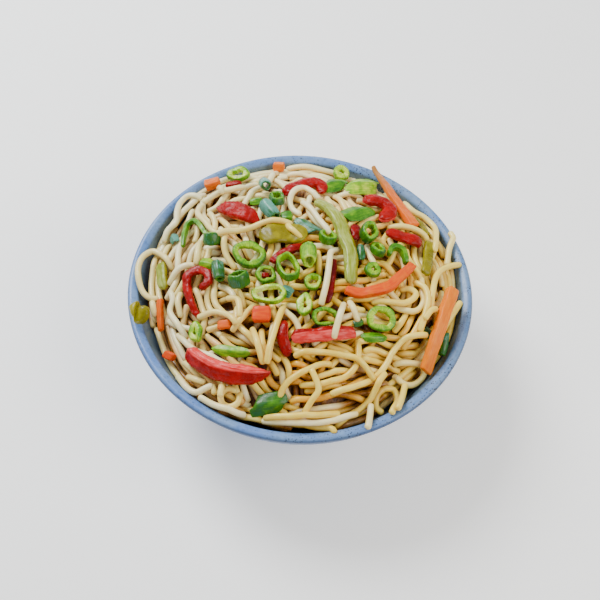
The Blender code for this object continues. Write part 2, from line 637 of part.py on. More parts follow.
def fuse_noodles(core, vegetables, parts, loose):
    """Lays the strands and scraps on the core and joins them to it."""
    draw = random.Random(STRAND_SEED)
    laid, count = [], 0
    for _ in range(MOST_TRIES):
        points = free_run(strand_heights(wander(draw), laid), vegetables)
        if len(points) * STRAND_STEP < SHORTEST_STRAND or crowding(points, laid) > MOST_CROWDED:
            continue
        strand_object(f"strand_{count}", points, loose)
        laid += points
        count += 1
        if count == STRANDS:
            break
    for i, spec in enumerate(SCRAPS):
        mesh = strip_mesh(f"scrap_{i}", spec, loose)
        mesh.transform(Matrix.Translation((0, 0, SCRAP_SINK)))
        add_object(f"scrap_{i}", mesh, loose, "noodle")
    union = core.modifiers.new("Join", "BOOLEAN")
    union.operation = "UNION"
    union.operand_type = "COLLECTION"
    union.collection = loose
    union.solver = "EXACT"
    joined = plain_mesh(core, "noodles")
    keep_largest_body(joined)
    bpy.data.objects.remove(core)
    for strand in list(loose.objects):
        bpy.data.objects.remove(strand)
    bpy.data.collections.remove(loose)
    return add_object("noodles", joined, parts, "noodle")


def main():
    for old in list(bpy.data.objects):
        bpy.data.objects.remove(old)
    parts = bpy.data.collections.new("noodle_bowl")
    loose = bpy.data.collections.new("loose")
    bpy.context.scene.collection.children.link(parts)
    bpy.context.scene.collection.children.link(loose)

    bowl = turned("bowl", bowl_profile(), parts, "bowl")
    bowl_shape = add_object("bowl_shape", plain_mesh(bowl, "bowl_shape"), parts, "bowl")
    bowl_tree = tree_of(bowl_shape)
    bpy.data.objects.remove(bowl_shape)
    core = heap_core(parts)
    pieces = lay_vegetables(parts, loose, core, bowl_tree)
    fuse_noodles(core, joined_tree(pieces), parts, loose)


main()
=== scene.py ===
import math
import random

import bmesh
import bpy
import numpy as np
from mathutils import Matrix, Vector, noise


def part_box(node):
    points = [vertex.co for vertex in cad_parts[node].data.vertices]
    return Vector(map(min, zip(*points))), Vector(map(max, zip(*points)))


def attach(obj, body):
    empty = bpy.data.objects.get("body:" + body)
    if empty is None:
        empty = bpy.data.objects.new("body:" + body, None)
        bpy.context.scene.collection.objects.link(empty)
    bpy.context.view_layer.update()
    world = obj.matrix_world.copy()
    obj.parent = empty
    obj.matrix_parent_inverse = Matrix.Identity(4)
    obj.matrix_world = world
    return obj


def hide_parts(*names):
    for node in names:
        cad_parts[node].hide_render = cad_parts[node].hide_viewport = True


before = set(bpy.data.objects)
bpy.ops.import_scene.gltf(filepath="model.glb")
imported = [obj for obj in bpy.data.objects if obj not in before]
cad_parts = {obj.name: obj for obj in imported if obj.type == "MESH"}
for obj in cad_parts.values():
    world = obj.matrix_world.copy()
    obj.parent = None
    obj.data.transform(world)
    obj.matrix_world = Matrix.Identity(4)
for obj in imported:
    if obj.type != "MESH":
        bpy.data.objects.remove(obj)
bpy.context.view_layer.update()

MM = 0.001

# The camera. The photo looks down on the bowl from a little over half a metre away and is held
# slightly turned. Its place was fitted to the outline of the bowl's rim in the 600 x 600 picture.
PICTURE_WIDTH = 600
CAMERA_ELEVATION = math.radians(56.7)
CAMERA_ROLL = math.radians(3.59)
CAMERA_DISTANCE = 520 * MM
FOCAL_PIXELS = 1095
CAMERA_AIM = Vector((0.04, -8.32, 54)) * MM

camera_back = Vector((0, -math.cos(CAMERA_ELEVATION), math.sin(CAMERA_ELEVATION)))
level_right = Vector((1, 0, 0))
level_up = Vector((0, math.sin(CAMERA_ELEVATION), math.cos(CAMERA_ELEVATION)))
camera_right = level_right * math.cos(CAMERA_ROLL) + level_up * math.sin(CAMERA_ROLL)
camera_up = level_up * math.cos(CAMERA_ROLL) - level_right * math.sin(CAMERA_ROLL)
camera_place = CAMERA_AIM + camera_back * CAMERA_DISTANCE
camera_turn = Matrix((camera_right, camera_up, camera_back)).transposed().to_4x4()


def placed(name, data):
    """A new object in the scene."""
    made = bpy.data.objects.new(name, data)
    bpy.context.scene.collection.objects.link(made)
    return made


lens = bpy.data.cameras.new("camera")
lens.lens = FOCAL_PIXELS / PICTURE_WIDTH * lens.sensor_width
camera = placed("camera", lens)
camera.matrix_world = Matrix.Translation(camera_place) @ camera_turn
bpy.context.scene.camera = camera


# The bowl is thrown stoneware: a turned shell with a rounded lip and a foot ring. Its blue-grey
# glaze is painted lighter on the lip, partly as painted highlight, and darker lower down the wall,
# inside and out, as painted shade. It has a darker line along the outer edge, and is freckled with
# iron specks. Only the foot ring, wiped clean before firing, shows the bare clay.
RIM_RADIUS = 82.5 * MM
BOWL_HEIGHT = 54 * MM
LIP_WIDTH = 4.2 * MM
OUTSIDE_LEAN = 0.22
OUTSIDE_TURN_IN = 11.5
INSIDE_LEAN = 0.4
INSIDE_TURN_IN = 8
WALL_DEPTH = 43 * MM
FLOOR_MIDDLE = 7.6 * MM
FOOT_RADIUS = 38.5 * MM
FOOT_WIDTH = 5 * MM
FOOT_RECESS = 3.6 * MM
BOWL_TURNS = 168
FLOOR_STEPS = 16
WALL_STEPS = 26
OUTSIDE_FROM = 5 * MM
OUTSIDE_EVERY = 1.6 * MM
OUTSIDE_STEPS = 22
CURVE_STEPS = 4
LIP_DEPTH = 3 * MM
THROWING_LINE = 0.07 * MM
THROWING_LINE_EVERY = 4.2 * MM
EDGE_LINE = 0.75
SPECKS = ((2.2 * MM, 0.23), (1.2 * MM, 0.3))  # distance apart, and a speck's radius as a share of it


def inner_radius(depth):
    """The bowl's inside radius at this depth below the rim."""
    return RIM_RADIUS - LIP_WIDTH - INSIDE_LEAN * depth - INSIDE_TURN_IN * depth**2


def outer_radius(depth):
    return RIM_RADIUS - OUTSIDE_LEAN * depth - OUTSIDE_TURN_IN * depth**2


def floor_height(radius):
    share = radius / inner_radius(WALL_DEPTH)
    return FLOOR_MIDDLE + (BOWL_HEIGHT - WALL_DEPTH - FLOOR_MIDDLE) * share**4


def through(points, per_span):
    """A smooth line through points, by Catmull-Rom, without its two outer spans."""
    smooth = []
    for before, first, last, after in zip(points, points[1:], points[2:], points[3:]):
        for k in range(per_span):
            t = k / per_span
            weighted = ((-t**3 + 2 * t**2 - t, before), (3 * t**3 - 5 * t**2 + 2, first),
                        (-3 * t**3 + 4 * t**2 + t, last), (t**3 - t**2, after))
            smooth.append(tuple(sum(w * point[axis] for w, point in weighted) / 2 for axis in range(2)))
    return smooth + [tuple(points[-2])]


def bowl_outline():
    """The glazed section from the middle of the floor, over the lip, to the middle underneath."""
    top, floor_radius = BOWL_HEIGHT, inner_radius(WALL_DEPTH)
    radii = [floor_radius * k / FLOOR_STEPS for k in range(FLOOR_STEPS)]
    floor = [(radius, floor_height(radius)) for radius in radii]
    depths = [WALL_DEPTH - (WALL_DEPTH - LIP_DEPTH) * k / WALL_STEPS for k in range(WALL_STEPS + 1)]
    wall = [(inner_radius(d), top - d) for d in depths]
    lip = through([wall[-2], wall[-1], (inner_radius(1.4 * MM), top - 1.4 * MM),
                   (RIM_RADIUS - 0.74 * LIP_WIDTH, top - 0.35 * MM), (RIM_RADIUS - 0.4 * LIP_WIDTH, top),
                   (RIM_RADIUS - 0.11 * LIP_WIDTH, top - 0.6 * MM), (RIM_RADIUS, top - 2 * MM),
                   (outer_radius(OUTSIDE_FROM), top - OUTSIDE_FROM),
                   (outer_radius(OUTSIDE_FROM + 2 * MM), top - OUTSIDE_FROM - 2 * MM)], CURVE_STEPS)
    depths = [OUTSIDE_FROM + OUTSIDE_EVERY * k for k in range(1, OUTSIDE_STEPS + 1)]
    outside = [(outer_radius(d), top - d) for d in depths]
    ring_inside = FOOT_RADIUS - FOOT_WIDTH
    foot = through([outside[-2], outside[-1], (outer_radius(44 * MM), top - 44 * MM),
                    (FOOT_RADIUS + 3 * MM, 4.6 * MM), (FOOT_RADIUS + 0.5 * MM, 1.6 * MM),
                    (FOOT_RADIUS - 1 * MM, 0), (ring_inside + 1 * MM, 0), (ring_inside - 0.2 * MM, 1 * MM),
                    (ring_inside - 1.6 * MM, FOOT_RECESS), (ring_inside - 6 * MM, FOOT_RECESS)],
                   CURVE_STEPS)
    underside = [(ring_inside / 2, FOOT_RECESS), (0, FOOT_RECESS)]
    return floor + wall[:-1] + lip[:-1] + outside + foot[1:] + underside


def plain_mesh(source, name):
    """An object as its modifiers leave it, as a closed mesh with its faces pointing out."""
    bpy.context.view_layer.update()
    graph = bpy.context.evaluated_depsgraph_get()
    mesh = bpy.data.meshes.new_from_object(source.evaluated_get(graph))
    mesh.name = name
    body = bmesh.new()
    body.from_mesh(mesh)
    bmesh.ops.remove_doubles(body, verts=body.verts, dist=0.005 * MM)
    bmesh.ops.recalc_face_normals(body, faces=body.faces)
    body.to_mesh(mesh)
    body.free()
    old = source.data
    bpy.data.objects.remove(source)
    bpy.data.meshes.remove(old)
    return mesh


def turned(name, outline, turns):
    """A line of (radius, height) points turned round the Z axis."""
    profile = bpy.data.meshes.new(name)
    profile.from_pydata([(r, 0, z) for r, z in outline], [(i, i + 1) for i in range(len(outline) - 1)], [])
    shape = placed(name, profile)
    screw = shape.modifiers.new("Turn", "SCREW")
    screw.steps = screw.render_steps = turns
    screw.use_merge_vertices = True
    screw.merge_threshold = 0.01 * MM
    return plain_mesh(shape, name)


def paint(red, green, blue):
    """A colour of 0 to 255 as Blender's linear numbers."""
    shares = [v / 255 for v in (red, green, blue)]
    return (*(v / 12.92 if v <= 0.04045 else ((v + 0.055) / 1.055) ** 2.4 for v in shares), 1)


def put(tree, kind, links=None, **settings):
    """Adds a node. Each of its inputs takes a plain value or another node's output."""
    made = tree.nodes.new(kind)
    for setting, value in settings.items():
        setattr(made, setting, value)
    for socket, value in (links or {}).items():
        if isinstance(value, bpy.types.NodeSocket):
            tree.links.new(value, made.inputs[socket])
        else:
            made.inputs[socket].default_value = value
    return made


def mixed(tree, share, first, second, how="MIX"):
    made = put(tree, "ShaderNodeMix", {0: share, 6: first, 7: second}, data_type="RGBA", blend_type=how)
    return made.outputs[2]


def math_of(tree, operation, first, second):
    return put(tree, "ShaderNodeMath", {0: first, 1: second}, operation=operation).outputs[0]


def spread(tree, value, low, high, to_low=0.0, to_high=1.0):
    """Takes low..high to to_low..to_high, softly and clamped."""
    links = {"Value": value, "From Min": low, "From Max": high, "To Min": to_low, "To Max": to_high}
    return put(tree, "ShaderNodeMapRange", links, interpolation_type="SMOOTHSTEP").outputs["Result"]


def cloud(tree, where, size, detail=3.0, rough=0.55):
    """Noise whose blotches are about this size, in the units of where."""
    links = {"Vector": where, "Scale": 1 / size, "Detail": detail, "Roughness": rough}
    return put(tree, "ShaderNodeTexNoise", links).outputs["Fac"]


def own(tree, name, output="Fac"):
    return put(tree, "ShaderNodeAttribute", attribute_name=name).outputs[output]


def start_material(name):
    """A new material, its nodes, its shader and the object's own coordinates, which patterns read."""
    made = bpy.data.materials.new(name)
    made.use_nodes = True
    place = put(made.node_tree, "ShaderNodeTexCoord").outputs["Object"]
    return made, made.node_tree, made.node_tree.nodes["Principled BSDF"], place


def set_surface(tree, shader, colour, roughness, height, relief, strength=0.5):
    """Joins a finish to its shader. relief is how deep the bumps are where height runs from 0 to 1."""
    bump = put(tree, "ShaderNodeBump", {"Height": height, "Distance": relief, "Strength": strength})
    tree.links.new(colour, shader.inputs["Base Color"])
    tree.links.new(roughness, shader.inputs["Roughness"])
    tree.links.new(bump.outputs["Normal"], shader.inputs["Normal"])


def glaze():
    made, tree, shader, place = start_material("speckled_glaze")
    lip, outside, low = own(tree, "lip"), own(tree, "outside"), own(tree, "low")
    broad, fine = cloud(tree, place, 26 * MM), cloud(tree, place, 2.2 * MM, 4.0, 0.7)
    # Painted shade: the slate inside and the blue outside both grow darker lower down the wall.
    inner = mixed(tree, low, paint(86, 108, 128), paint(80, 96, 106))
    outer = mixed(tree, low, paint(84, 118, 172), paint(70, 98, 146))
    wall = mixed(tree, outside, inner, outer)
    # Painted highlight: the lip is lighter than the wall, partly its own glaze, partly painted light.
    top = mixed(tree, spread(tree, broad, 0.35, 0.65), paint(86, 126, 192), paint(110, 144, 190))
    body = mixed(tree, lip, wall, top)
    side = put(tree, "ShaderNodeSeparateXYZ", {0: place}).outputs["X"]
    greyer = spread(tree, side, -20 * MM, 80 * MM, 0.0, 0.5)
    body = mixed(tree, greyer, body, mixed(tree, 1.0, body, paint(234, 230, 204), "MULTIPLY"))
    body = mixed(tree, spread(tree, fine, 0.3, 0.72, 0.0, 0.25), body, paint(130, 158, 194))
    body = mixed(tree, spread(tree, fine, 0.52, 0.3, 0.0, 0.3), body, paint(62, 84, 116))
    body = mixed(tree, own(tree, "edge"), body, paint(58, 78, 112))
    thinned = cloud(tree, place, 9 * MM)
    for size, reach in SPECKS:
        speck = put(tree, "ShaderNodeTexVoronoi", {"Vector": place, "Scale": 1 / size}).outputs["Distance"]
        shown = math_of(tree, "MULTIPLY", spread(tree, speck, reach, reach * 0.55),
                        spread(tree, thinned, 0.38, 0.56))
        shown = math_of(tree, "MULTIPLY", shown, spread(tree, side, -60 * MM, 40 * MM, 0.4, 1.0))
        body = mixed(tree, shown, body, paint(38, 44, 54))
    bare = own(tree, "bare")
    clay = mixed(tree, fine, paint(150, 132, 112), paint(184, 166, 142))
    body = mixed(tree, bare, body, clay)
    rough = spread(tree, fine, 0.3, 0.7, 0.3, 0.46)
    rough = math_of(tree, "ADD", rough, math_of(tree, "MULTIPLY", bare, 0.4))
    set_surface(tree, shader, body, rough, fine, 0.12 * MM)
    shader.inputs["Specular IOR Level"].default_value = 0.45
    return made


def point_attribute(mesh, name, values):
    layer = mesh.attributes.new(name, "FLOAT", "POINT")
    layer.data.foreach_set("value", np.asarray(values, dtype=np.float32))


def points_of(mesh):
    flat = np.empty(len(mesh.vertices) * 3)
    mesh.vertices.foreach_get("co", flat)
    return flat.reshape(-1, 3)


def smoothstep(values, low, high):
    share = np.clip((values - low) / (high - low), 0, 1)
    return share * share * (3 - 2 * share)


bowl_mesh = turned("stoneware_bowl", bowl_outline(), BOWL_TURNS)
at = points_of(bowl_mesh)
radius, depth = np.hypot(at[:, 0], at[:, 1]), BOWL_HEIGHT - at[:, 2]
wall_middle = (inner_radius(depth) + outer_radius(depth)) / 2
on_outside = smoothstep(radius - wall_middle, -0.4 * MM, 0.4 * MM)
on_wall = smoothstep(depth, 4 * MM, 9 * MM) * smoothstep(-depth, -46 * MM, -40 * MM)
throwing_lines = on_wall * THROWING_LINE * np.sin(depth / THROWING_LINE_EVERY * math.tau)
swell = 1 + throwing_lines / np.maximum(radius, 10 * MM)
at[:, :2] *= swell[:, None]
at[:, 2] = np.maximum(at[:, 2], 0)
bowl_mesh.vertices.foreach_set("co", at.ravel())
point_attribute(bowl_mesh, "outside", on_outside)
point_attribute(bowl_mesh, "lip", smoothstep(-depth, -2.6 * MM, -0.7 * MM))
point_attribute(bowl_mesh, "low", smoothstep(depth, 2 * MM, 16 * MM))
edge_line = smoothstep(radius, RIM_RADIUS - 0.9 * MM, RIM_RADIUS - 0.2 * MM)
edge_line *= smoothstep(-depth, -4.2 * MM, -1.9 * MM)
point_attribute(bowl_mesh, "edge", edge_line * EDGE_LINE)
point_attribute(bowl_mesh, "bare", smoothstep(depth, BOWL_HEIGHT - 1.5 * MM, BOWL_HEIGHT - 0.9 * MM))
bowl_mesh.shade_smooth()
bowl_mesh.materials.clear()
bowl_mesh.materials.append(glaze())
bowl = placed("stoneware_bowl", bowl_mesh)
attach(bowl, "root")
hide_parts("bowl")


# Red sweet pepper, cut in strips: glossy skin on one side, paler ribbed flesh on the other. Each
# strip follows a route over the top of the heap, and lies on it or on the pieces below.
HEAP_RISE = 16 * MM
HEAP_ROUNDNESS = 2.6
HEAP_END = 1.05  # how far out the slope goes on, as a share of the heap's radius
EDGE_DROP = 5 * MM
EDGE_CHANGES = (  # bearing and spread in degrees, extra depth
    (-155, 22, 4 * MM),
    (-45, 22, 7 * MM),
    (126, 20, -4 * MM),
    (25, 34, -2 * MM),
)
HEAP_RIPPLE = 0.7 * MM
RIPPLE_LENGTH = 21 * MM
WALL_GAP = 0.9 * MM
PATH_STEP = 0.4 * MM
STATION_EVERY = 1.3 * MM
PEPPER, STICK, LEAF = "pepper", "stick", "leaf"  # the kinds of section
SECTION_CORNERS = 18
SQUARENESS = {PEPPER: 0.66, STICK: 0.34}  # 1 is an ellipse, 0 a rectangle
PEPPER_HOLLOW = 0.2
END_ROUNDING = {PEPPER: 0.3, STICK: 0.12, LEAF: 0.05}  # as a share of the width
UNEVEN_WIDTH = 0.09
UNEVEN_THICKNESS = {PEPPER: 0.11, STICK: 0.11, LEAF: 0.05}
SWAY = 0.35 * MM
LEAF_WALL = 0.6 * MM
LEAF_FOLD = 1.15  # 1 is a sharp fold, 2 a round arch
LEAF_SPREAD = 1.22  # a leaf opens wider than its solid, and lies flatter
LEAF_FLATTENED = 0.8
DENT_SIZE = 2.4 * MM
# Each row gives places and sizes in millimetres and angles in degrees. "arcs" are the lengths and
# turns of the route, "ends" the two ends' sizes as shares of the middle's, and "skin" where the skin
# lies round the section and how far it reaches to each side. "roll" tips the section over, "slant"
# shears its ends, "spindle" thins it to both ends, "taper" thins it along its length, "rise_from" and
# "rise_to" lift its ends off the heap, and "tone" darkens it: painted shade for strips that lie deep
# among the others.
RED_PEPPER = (
    dict(name="red_pepper_crescent", start=(-48, -42), heading=-50, arcs=((41, 62),), width=9.5,
         thick=6.0, roll=-24, ends=(0.7, 0.22), skin=(146, 76), tone=0.0),
    dict(name="red_pepper_pod", start=(-43.5, 37), heading=-20, arcs=((26, -24),), width=9.5, thick=4.2,
         ends=(0.6, 0.4), spindle=0.5, skin=(60, 130), tone=0.15),
    dict(name="red_pepper_top", start=(-10, 45), heading=62, arcs=((12, -18), (8, -50), (9, -150)),
         width=7.2, thick=3.8, ends=(0.9, 0.6), skin=(80, 130), tone=0.1),
    dict(name="red_pepper_hook", start=(-46, -26), heading=122,
         arcs=((21, -22), (6, -95), (6, -45), (7, -80), (4, -60)), width=4.2, thick=3.2, ends=(0.6, 0.8),
         skin=(90, 120), tone=0.15),
    dict(name="red_pepper_curl", start=(29.4, 44.6), heading=50, arcs=((7, -50), (12, -110), (7, -70)),
         width=7.6, thick=4.6, ends=(0.8, 0.8), skin=(130, 118), tone=0.0),
    dict(name="red_pepper_chip", start=(24, 27), heading=-88, arcs=((10, 10),), width=5.0, thick=3.0,
         ends=(0.8, 0.7), skin=(90, 140), tone=0.35),
    dict(name="red_pepper_under", start=(39, 26), heading=-8, arcs=((18, 6),), width=7.0, thick=3.2,
         ends=(0.7, 0.85), skin=(90, 140), tone=0.2),
    dict(name="red_pepper_thread", start=(2, 10.5), heading=186, arcs=((20, 52),), width=4.4, thick=2.8,
         ends=(0.5, 0.9), skin=(90, 140), tone=0.25),
    dict(name="red_pepper_deep", start=(14, 4), heading=-90, arcs=((24, -8),), width=4.6, thick=2.6,
         ends=(0.8, 0.6), skin=(90, 140), tone=0.75),
    dict(name="red_pepper_bar", start=(-3, -38), heading=4, arcs=((29, 16),), width=6.6, thick=4.6,
         roll=-15, ends=(0.95, 0.8), skin=(20, 48), tone=0.1),
    dict(name="red_pepper_fold", start=(-6.5, -30), heading=-112, arcs=((17, 66),), width=5.2, thick=3.4,
         ends=(0.5, 0.8), skin=(120, 80), tone=0.35),
)


def edge_drop(bearing):
    """How far below the rim the noodles meet the wall, at this bearing in degrees."""
    extra = 0
    for middle, width, change in EDGE_CHANGES:
        off = (bearing - middle + 180) % 360 - 180
        extra += change * math.exp(-((off / width) ** 2))
    return EDGE_DROP + extra


def edge_radius(bearing):
    return inner_radius(edge_drop(bearing)) - WALL_GAP


def heap_height(x, y):
    """The smooth top of the heap that the vegetables lie on."""
    bearing = math.degrees(math.atan2(y, x))
    out = math.hypot(x, y) / edge_radius(bearing)
    ripple = math.sin(x / RIPPLE_LENGTH * math.tau) * math.cos(y / RIPPLE_LENGTH * math.tau + 1)
    ripple *= HEAP_RIPPLE * max(0, 1 - out**4)
    sloping = min(out, HEAP_END)
    level = BOWL_HEIGHT + HEAP_RISE * (1 - sloping**HEAP_ROUNDNESS)
    return level - edge_drop(bearing) * sloping**4 + ripple


def heap_normal(x, y, reach=2 * MM):
    slope_x = (heap_height(x + reach, y) - heap_height(x - reach, y)) / (2 * reach)
    slope_y = (heap_height(x, y + reach) - heap_height(x, y - reach)) / (2 * reach)
    return Vector((-slope_x, -slope_y, 1)).normalized()


def route(start, heading, arcs, every):
    """Plan points and headings along arcs of (length in mm, turn in degrees)."""
    x, y = (v * MM for v in start)
    angle = math.radians(heading)
    points = [(x, y, angle)]
    for length, turn in arcs:
        steps = max(1, math.ceil(length * MM / every))
        for _ in range(steps):
            angle += math.radians(turn) / steps / 2
            x += math.cos(angle) * length * MM / steps
            y += math.sin(angle) * length * MM / steps
            angle += math.radians(turn) / steps / 2
            points.append((x, y, angle))
    return points


def section_outline(kind, width, thick):
    """(across, up) points round a strip's section."""
    half, middle = width / 2, thick / 2
    if kind == LEAF:
        half, thick = half * LEAF_SPREAD, thick * LEAF_FLATTENED
        wall = min(LEAF_WALL, thick * 0.35)
        shares = [1 - k / 4 for k in range(9)]
        outer = [(half * s, thick * (1 - abs(s) ** LEAF_FOLD)) for s in shares]
        under = thick - 1.3 * wall
        inner = [((half - wall) * s, under * (1 - abs(s) ** LEAF_FOLD)) for s in reversed(shares)]
        return outer + inner
    outline = []
    for k in range(SECTION_CORNERS):
        angle = math.tau * k / SECTION_CORNERS
        cosine, sine = math.cos(angle), math.sin(angle)
        across = half * math.copysign(abs(cosine) ** SQUARENESS[kind], cosine)
        up = middle + middle * math.copysign(abs(sine) ** SQUARENESS[kind], sine)
        if kind == PEPPER and sine < 0:
            up += PEPPER_HOLLOW * thick * (1 - (across / half) ** 2)
        outline.append((across, up))
    return outline


def end_shares(length, reach):
    """(distance along, share of the section) at close stations on the ends and even ones between."""
    close = [(reach * s, math.sqrt(1 - (1 - s) ** 2)) for s in (0.03, 0.14, 0.4, 0.7)]
    count = max(2, round((length - 2 * reach) / STATION_EVERY))
    even = [(reach + (length - 2 * reach) * k / count, 1) for k in range(count + 1)]
    return close + even + [(length - s, share) for s, share in reversed(close)]


def uneven(along, wave, seed, layer):
    """Smooth noise of -1 to 1 along a piece."""
    return noise.noise(Vector((along / wave, seed, layer)))


def turn_to(wanted, angle):
    """The shorter turn from an angle to the wanted one."""
    return (wanted - angle + math.pi) % math.tau - math.pi


def strip_shape(spec, seed, kind):
    """Corners and faces of one strip, and for each corner its grain (around, along, seed) and skin."""
    path = route(spec["start"], spec["heading"], spec["arcs"], PATH_STEP)
    width, thick = spec["width"] * MM, spec["thick"] * MM
    outline = section_outline(kind, width, thick)
    step = sum(length for length, _ in spec["arcs"]) * MM / (len(path) - 1)
    length, reach = step * (len(path) - 1), END_ROUNDING[kind] * width
    first, last = spec["ends"]
    roll = math.radians(spec.get("roll", 0))
    skin_middle, skin_reach = (math.radians(v) for v in spec.get("skin", (90, 180)))
    corners, faces, grains, skins = [], [], [], []
    stations = end_shares(length, min(reach, length / 3))
    for s, rounding in stations:
        i = min(len(path) - 1, round(s / step))
        x, y, angle = path[i]
        share = s / length
        raised = spec.get("rise_from", 0) * (1 - share) ** 2 + spec.get("rise_to", 0) * share**2
        up = heap_normal(x, y)
        heading_unit = Vector((math.cos(angle), math.sin(angle), 0))
        across = up.cross(heading_unit).normalized()
        level_across = across * math.cos(roll) - up * math.sin(roll)
        rolled_up = up * math.cos(roll) + across * math.sin(roll)
        scale = 1 - (1 - first) * max(0, 1 - 3 * share) ** 2 - (1 - last) * max(0, 3 * share - 2) ** 2
        scale *= (1 - spec.get("taper", 0) * share) * (1 - spec.get("spindle", 0) * (2 * share - 1) ** 2)
        wide = scale * (1 + UNEVEN_WIDTH * uneven(s, 7 * MM, seed, 0))
        deep = scale * (1 + UNEVEN_THICKNESS[kind] * uneven(s, 6 * MM, seed, 5))
        middle = thick * deep / 2
        sway = SWAY * uneven(s, 9 * MM, seed, 9)
        base = Vector((x, y, heap_height(x, y) + raised * MM)) + level_across * sway
        for k, (a, u) in enumerate(outline):
            height = (u * deep - middle) * rounding + middle
            slanted = heading_unit * spec.get("slant", 0) * a * wide
            corners.append(base + slanted + level_across * a * wide * rounding + rolled_up * height)
            turn = math.atan2((u - thick / 2) / thick, a / width)
            skins.append(1 if abs(turn_to(turn, skin_middle)) < skin_reach else 0)
            grains.append((k / len(outline) * 2 * (width + thick) / MM, s / MM, seed * 10))
    count = len(outline)
    for row in range(len(stations) - 1):
        for k in range(count):
            a, b = row * count + k, row * count + (k + 1) % count
            faces.append((a, b, b + count, a + count))
    faces.append(tuple(range(count)))
    faces.append(tuple(range(len(corners) - count, len(corners))))
    return corners, faces, grains, skins


vegetables = []


def make_piece(name, shape, material, slot, wrinkle, nodes, **tones):
    """Smooths and wrinkles a shape, sets it in its node's box and hands it to the frame."""
    corners, faces, grains, skins = shape
    cage = bpy.data.meshes.new(name)
    cage.from_pydata([tuple(c) for c in corners], [], faces)
    layer = cage.attributes.new("grain", "FLOAT_VECTOR", "POINT")
    layer.data.foreach_set("vector", np.array(grains, dtype=np.float32).ravel())
    point_attribute(cage, "skin", skins)
    rough = placed(name, cage)
    smooth = rough.modifiers.new("Smooth", "SUBSURF")
    smooth.levels = smooth.render_levels = 1
    mesh = plain_mesh(rough, name)
    for tone, value in tones.items():
        point_attribute(mesh, tone, np.full(len(mesh.vertices), value))
    moved = points_of(mesh)
    outward = np.array([tuple(v.normal) for v in mesh.vertices])
    own_part = Vector((len(name), 3, 7))
    dents = [noise.fractal(Vector(p) / DENT_SIZE + own_part, 0.7, 2.1, 3) for p in moved]
    moved += outward * np.array(dents)[:, None] * wrinkle
    if nodes != ("noodles",):
        low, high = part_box(nodes[0])
        middle = np.array((low + high) / 2)
        moved += middle - (moved.min(0) + moved.max(0)) / 2
    mesh.vertices.foreach_set("co", moved.ravel())
    mesh.update()
    mesh.shade_smooth()
    mesh.materials.clear()
    mesh.materials.append(material)
    piece = placed(name, mesh)
    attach(piece, "root")
    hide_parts(*nodes)
    vegetables.append(piece)


def moisten(shader, scatter, reach, shine, oil, oil_roughness):
    """Light sinks a little way into cooked food, and a thin film of oil lies on it."""
    shader.inputs["Subsurface Weight"].default_value = scatter
    shader.inputs["Subsurface Radius"].default_value = reach
    shader.inputs["Subsurface Scale"].default_value = 1.0
    shader.inputs["Specular IOR Level"].default_value = shine
    shader.inputs["Coat Weight"].default_value = oil
    shader.inputs["Coat Roughness"].default_value = oil_roughness
    shader.inputs["Coat IOR"].default_value = 1.45


def streaks(tree, across, along):
    """Noise drawn out along the piece: sizes in millimetres round it and along it."""
    grain = own(tree, "grain", "Vector")
    scaled = put(tree, "ShaderNodeMapping", {"Vector": grain, "Scale": (1 / across, 1 / along, 1)})
    return cloud(tree, scaled.outputs["Vector"], 1.0, 2.0)


def red_pepper_finish():
    made, tree, shader, place = start_material("red_pepper")
    blotch, fine = cloud(tree, place, 6 * MM), cloud(tree, place, 0.9 * MM, 3.0)
    ribs = streaks(tree, 1.1, 7)
    skin = mixed(tree, spread(tree, blotch, 0.35, 0.7), paint(142, 0, 0), paint(176, 1, 0))
    flesh = mixed(tree, spread(tree, ribs, 0.35, 0.68), paint(212, 34, 30), paint(244, 98, 92))
    edge = math_of(tree, "ADD", own(tree, "skin"), math_of(tree, "MULTIPLY", blotch, 0.3))
    body = mixed(tree, spread(tree, edge, 0.5, 0.8), flesh, skin)
    # Painted shade: the tone attribute darkens the strips that lie deep among the others.
    dark = mixed(tree, 1.0, body, paint(120, 60, 60), "MULTIPLY")
    body = mixed(tree, own(tree, "tone"), body, dark)
    rough = spread(tree, fine, 0.3, 0.7, 0.24, 0.42)
    height = math_of(tree, "ADD", math_of(tree, "MULTIPLY", ribs, 0.9), math_of(tree, "MULTIPLY", fine, 0.5))
    set_surface(tree, shader, body, rough, height, 0.4 * MM, 0.8)
    moisten(shader, scatter=0.12, reach=(0.003, 0.0006, 0.0004), shine=0.18, oil=0.07, oil_roughness=0.1)
    return made


red_pepper = red_pepper_finish()
for seed, spec in enumerate(RED_PEPPER, 1):
    make_piece(spec["name"] + "_strip", strip_shape(spec, seed, PEPPER), red_pepper, "red_pepper",
               0.4 * MM, (spec["name"],), tone=spec["tone"])


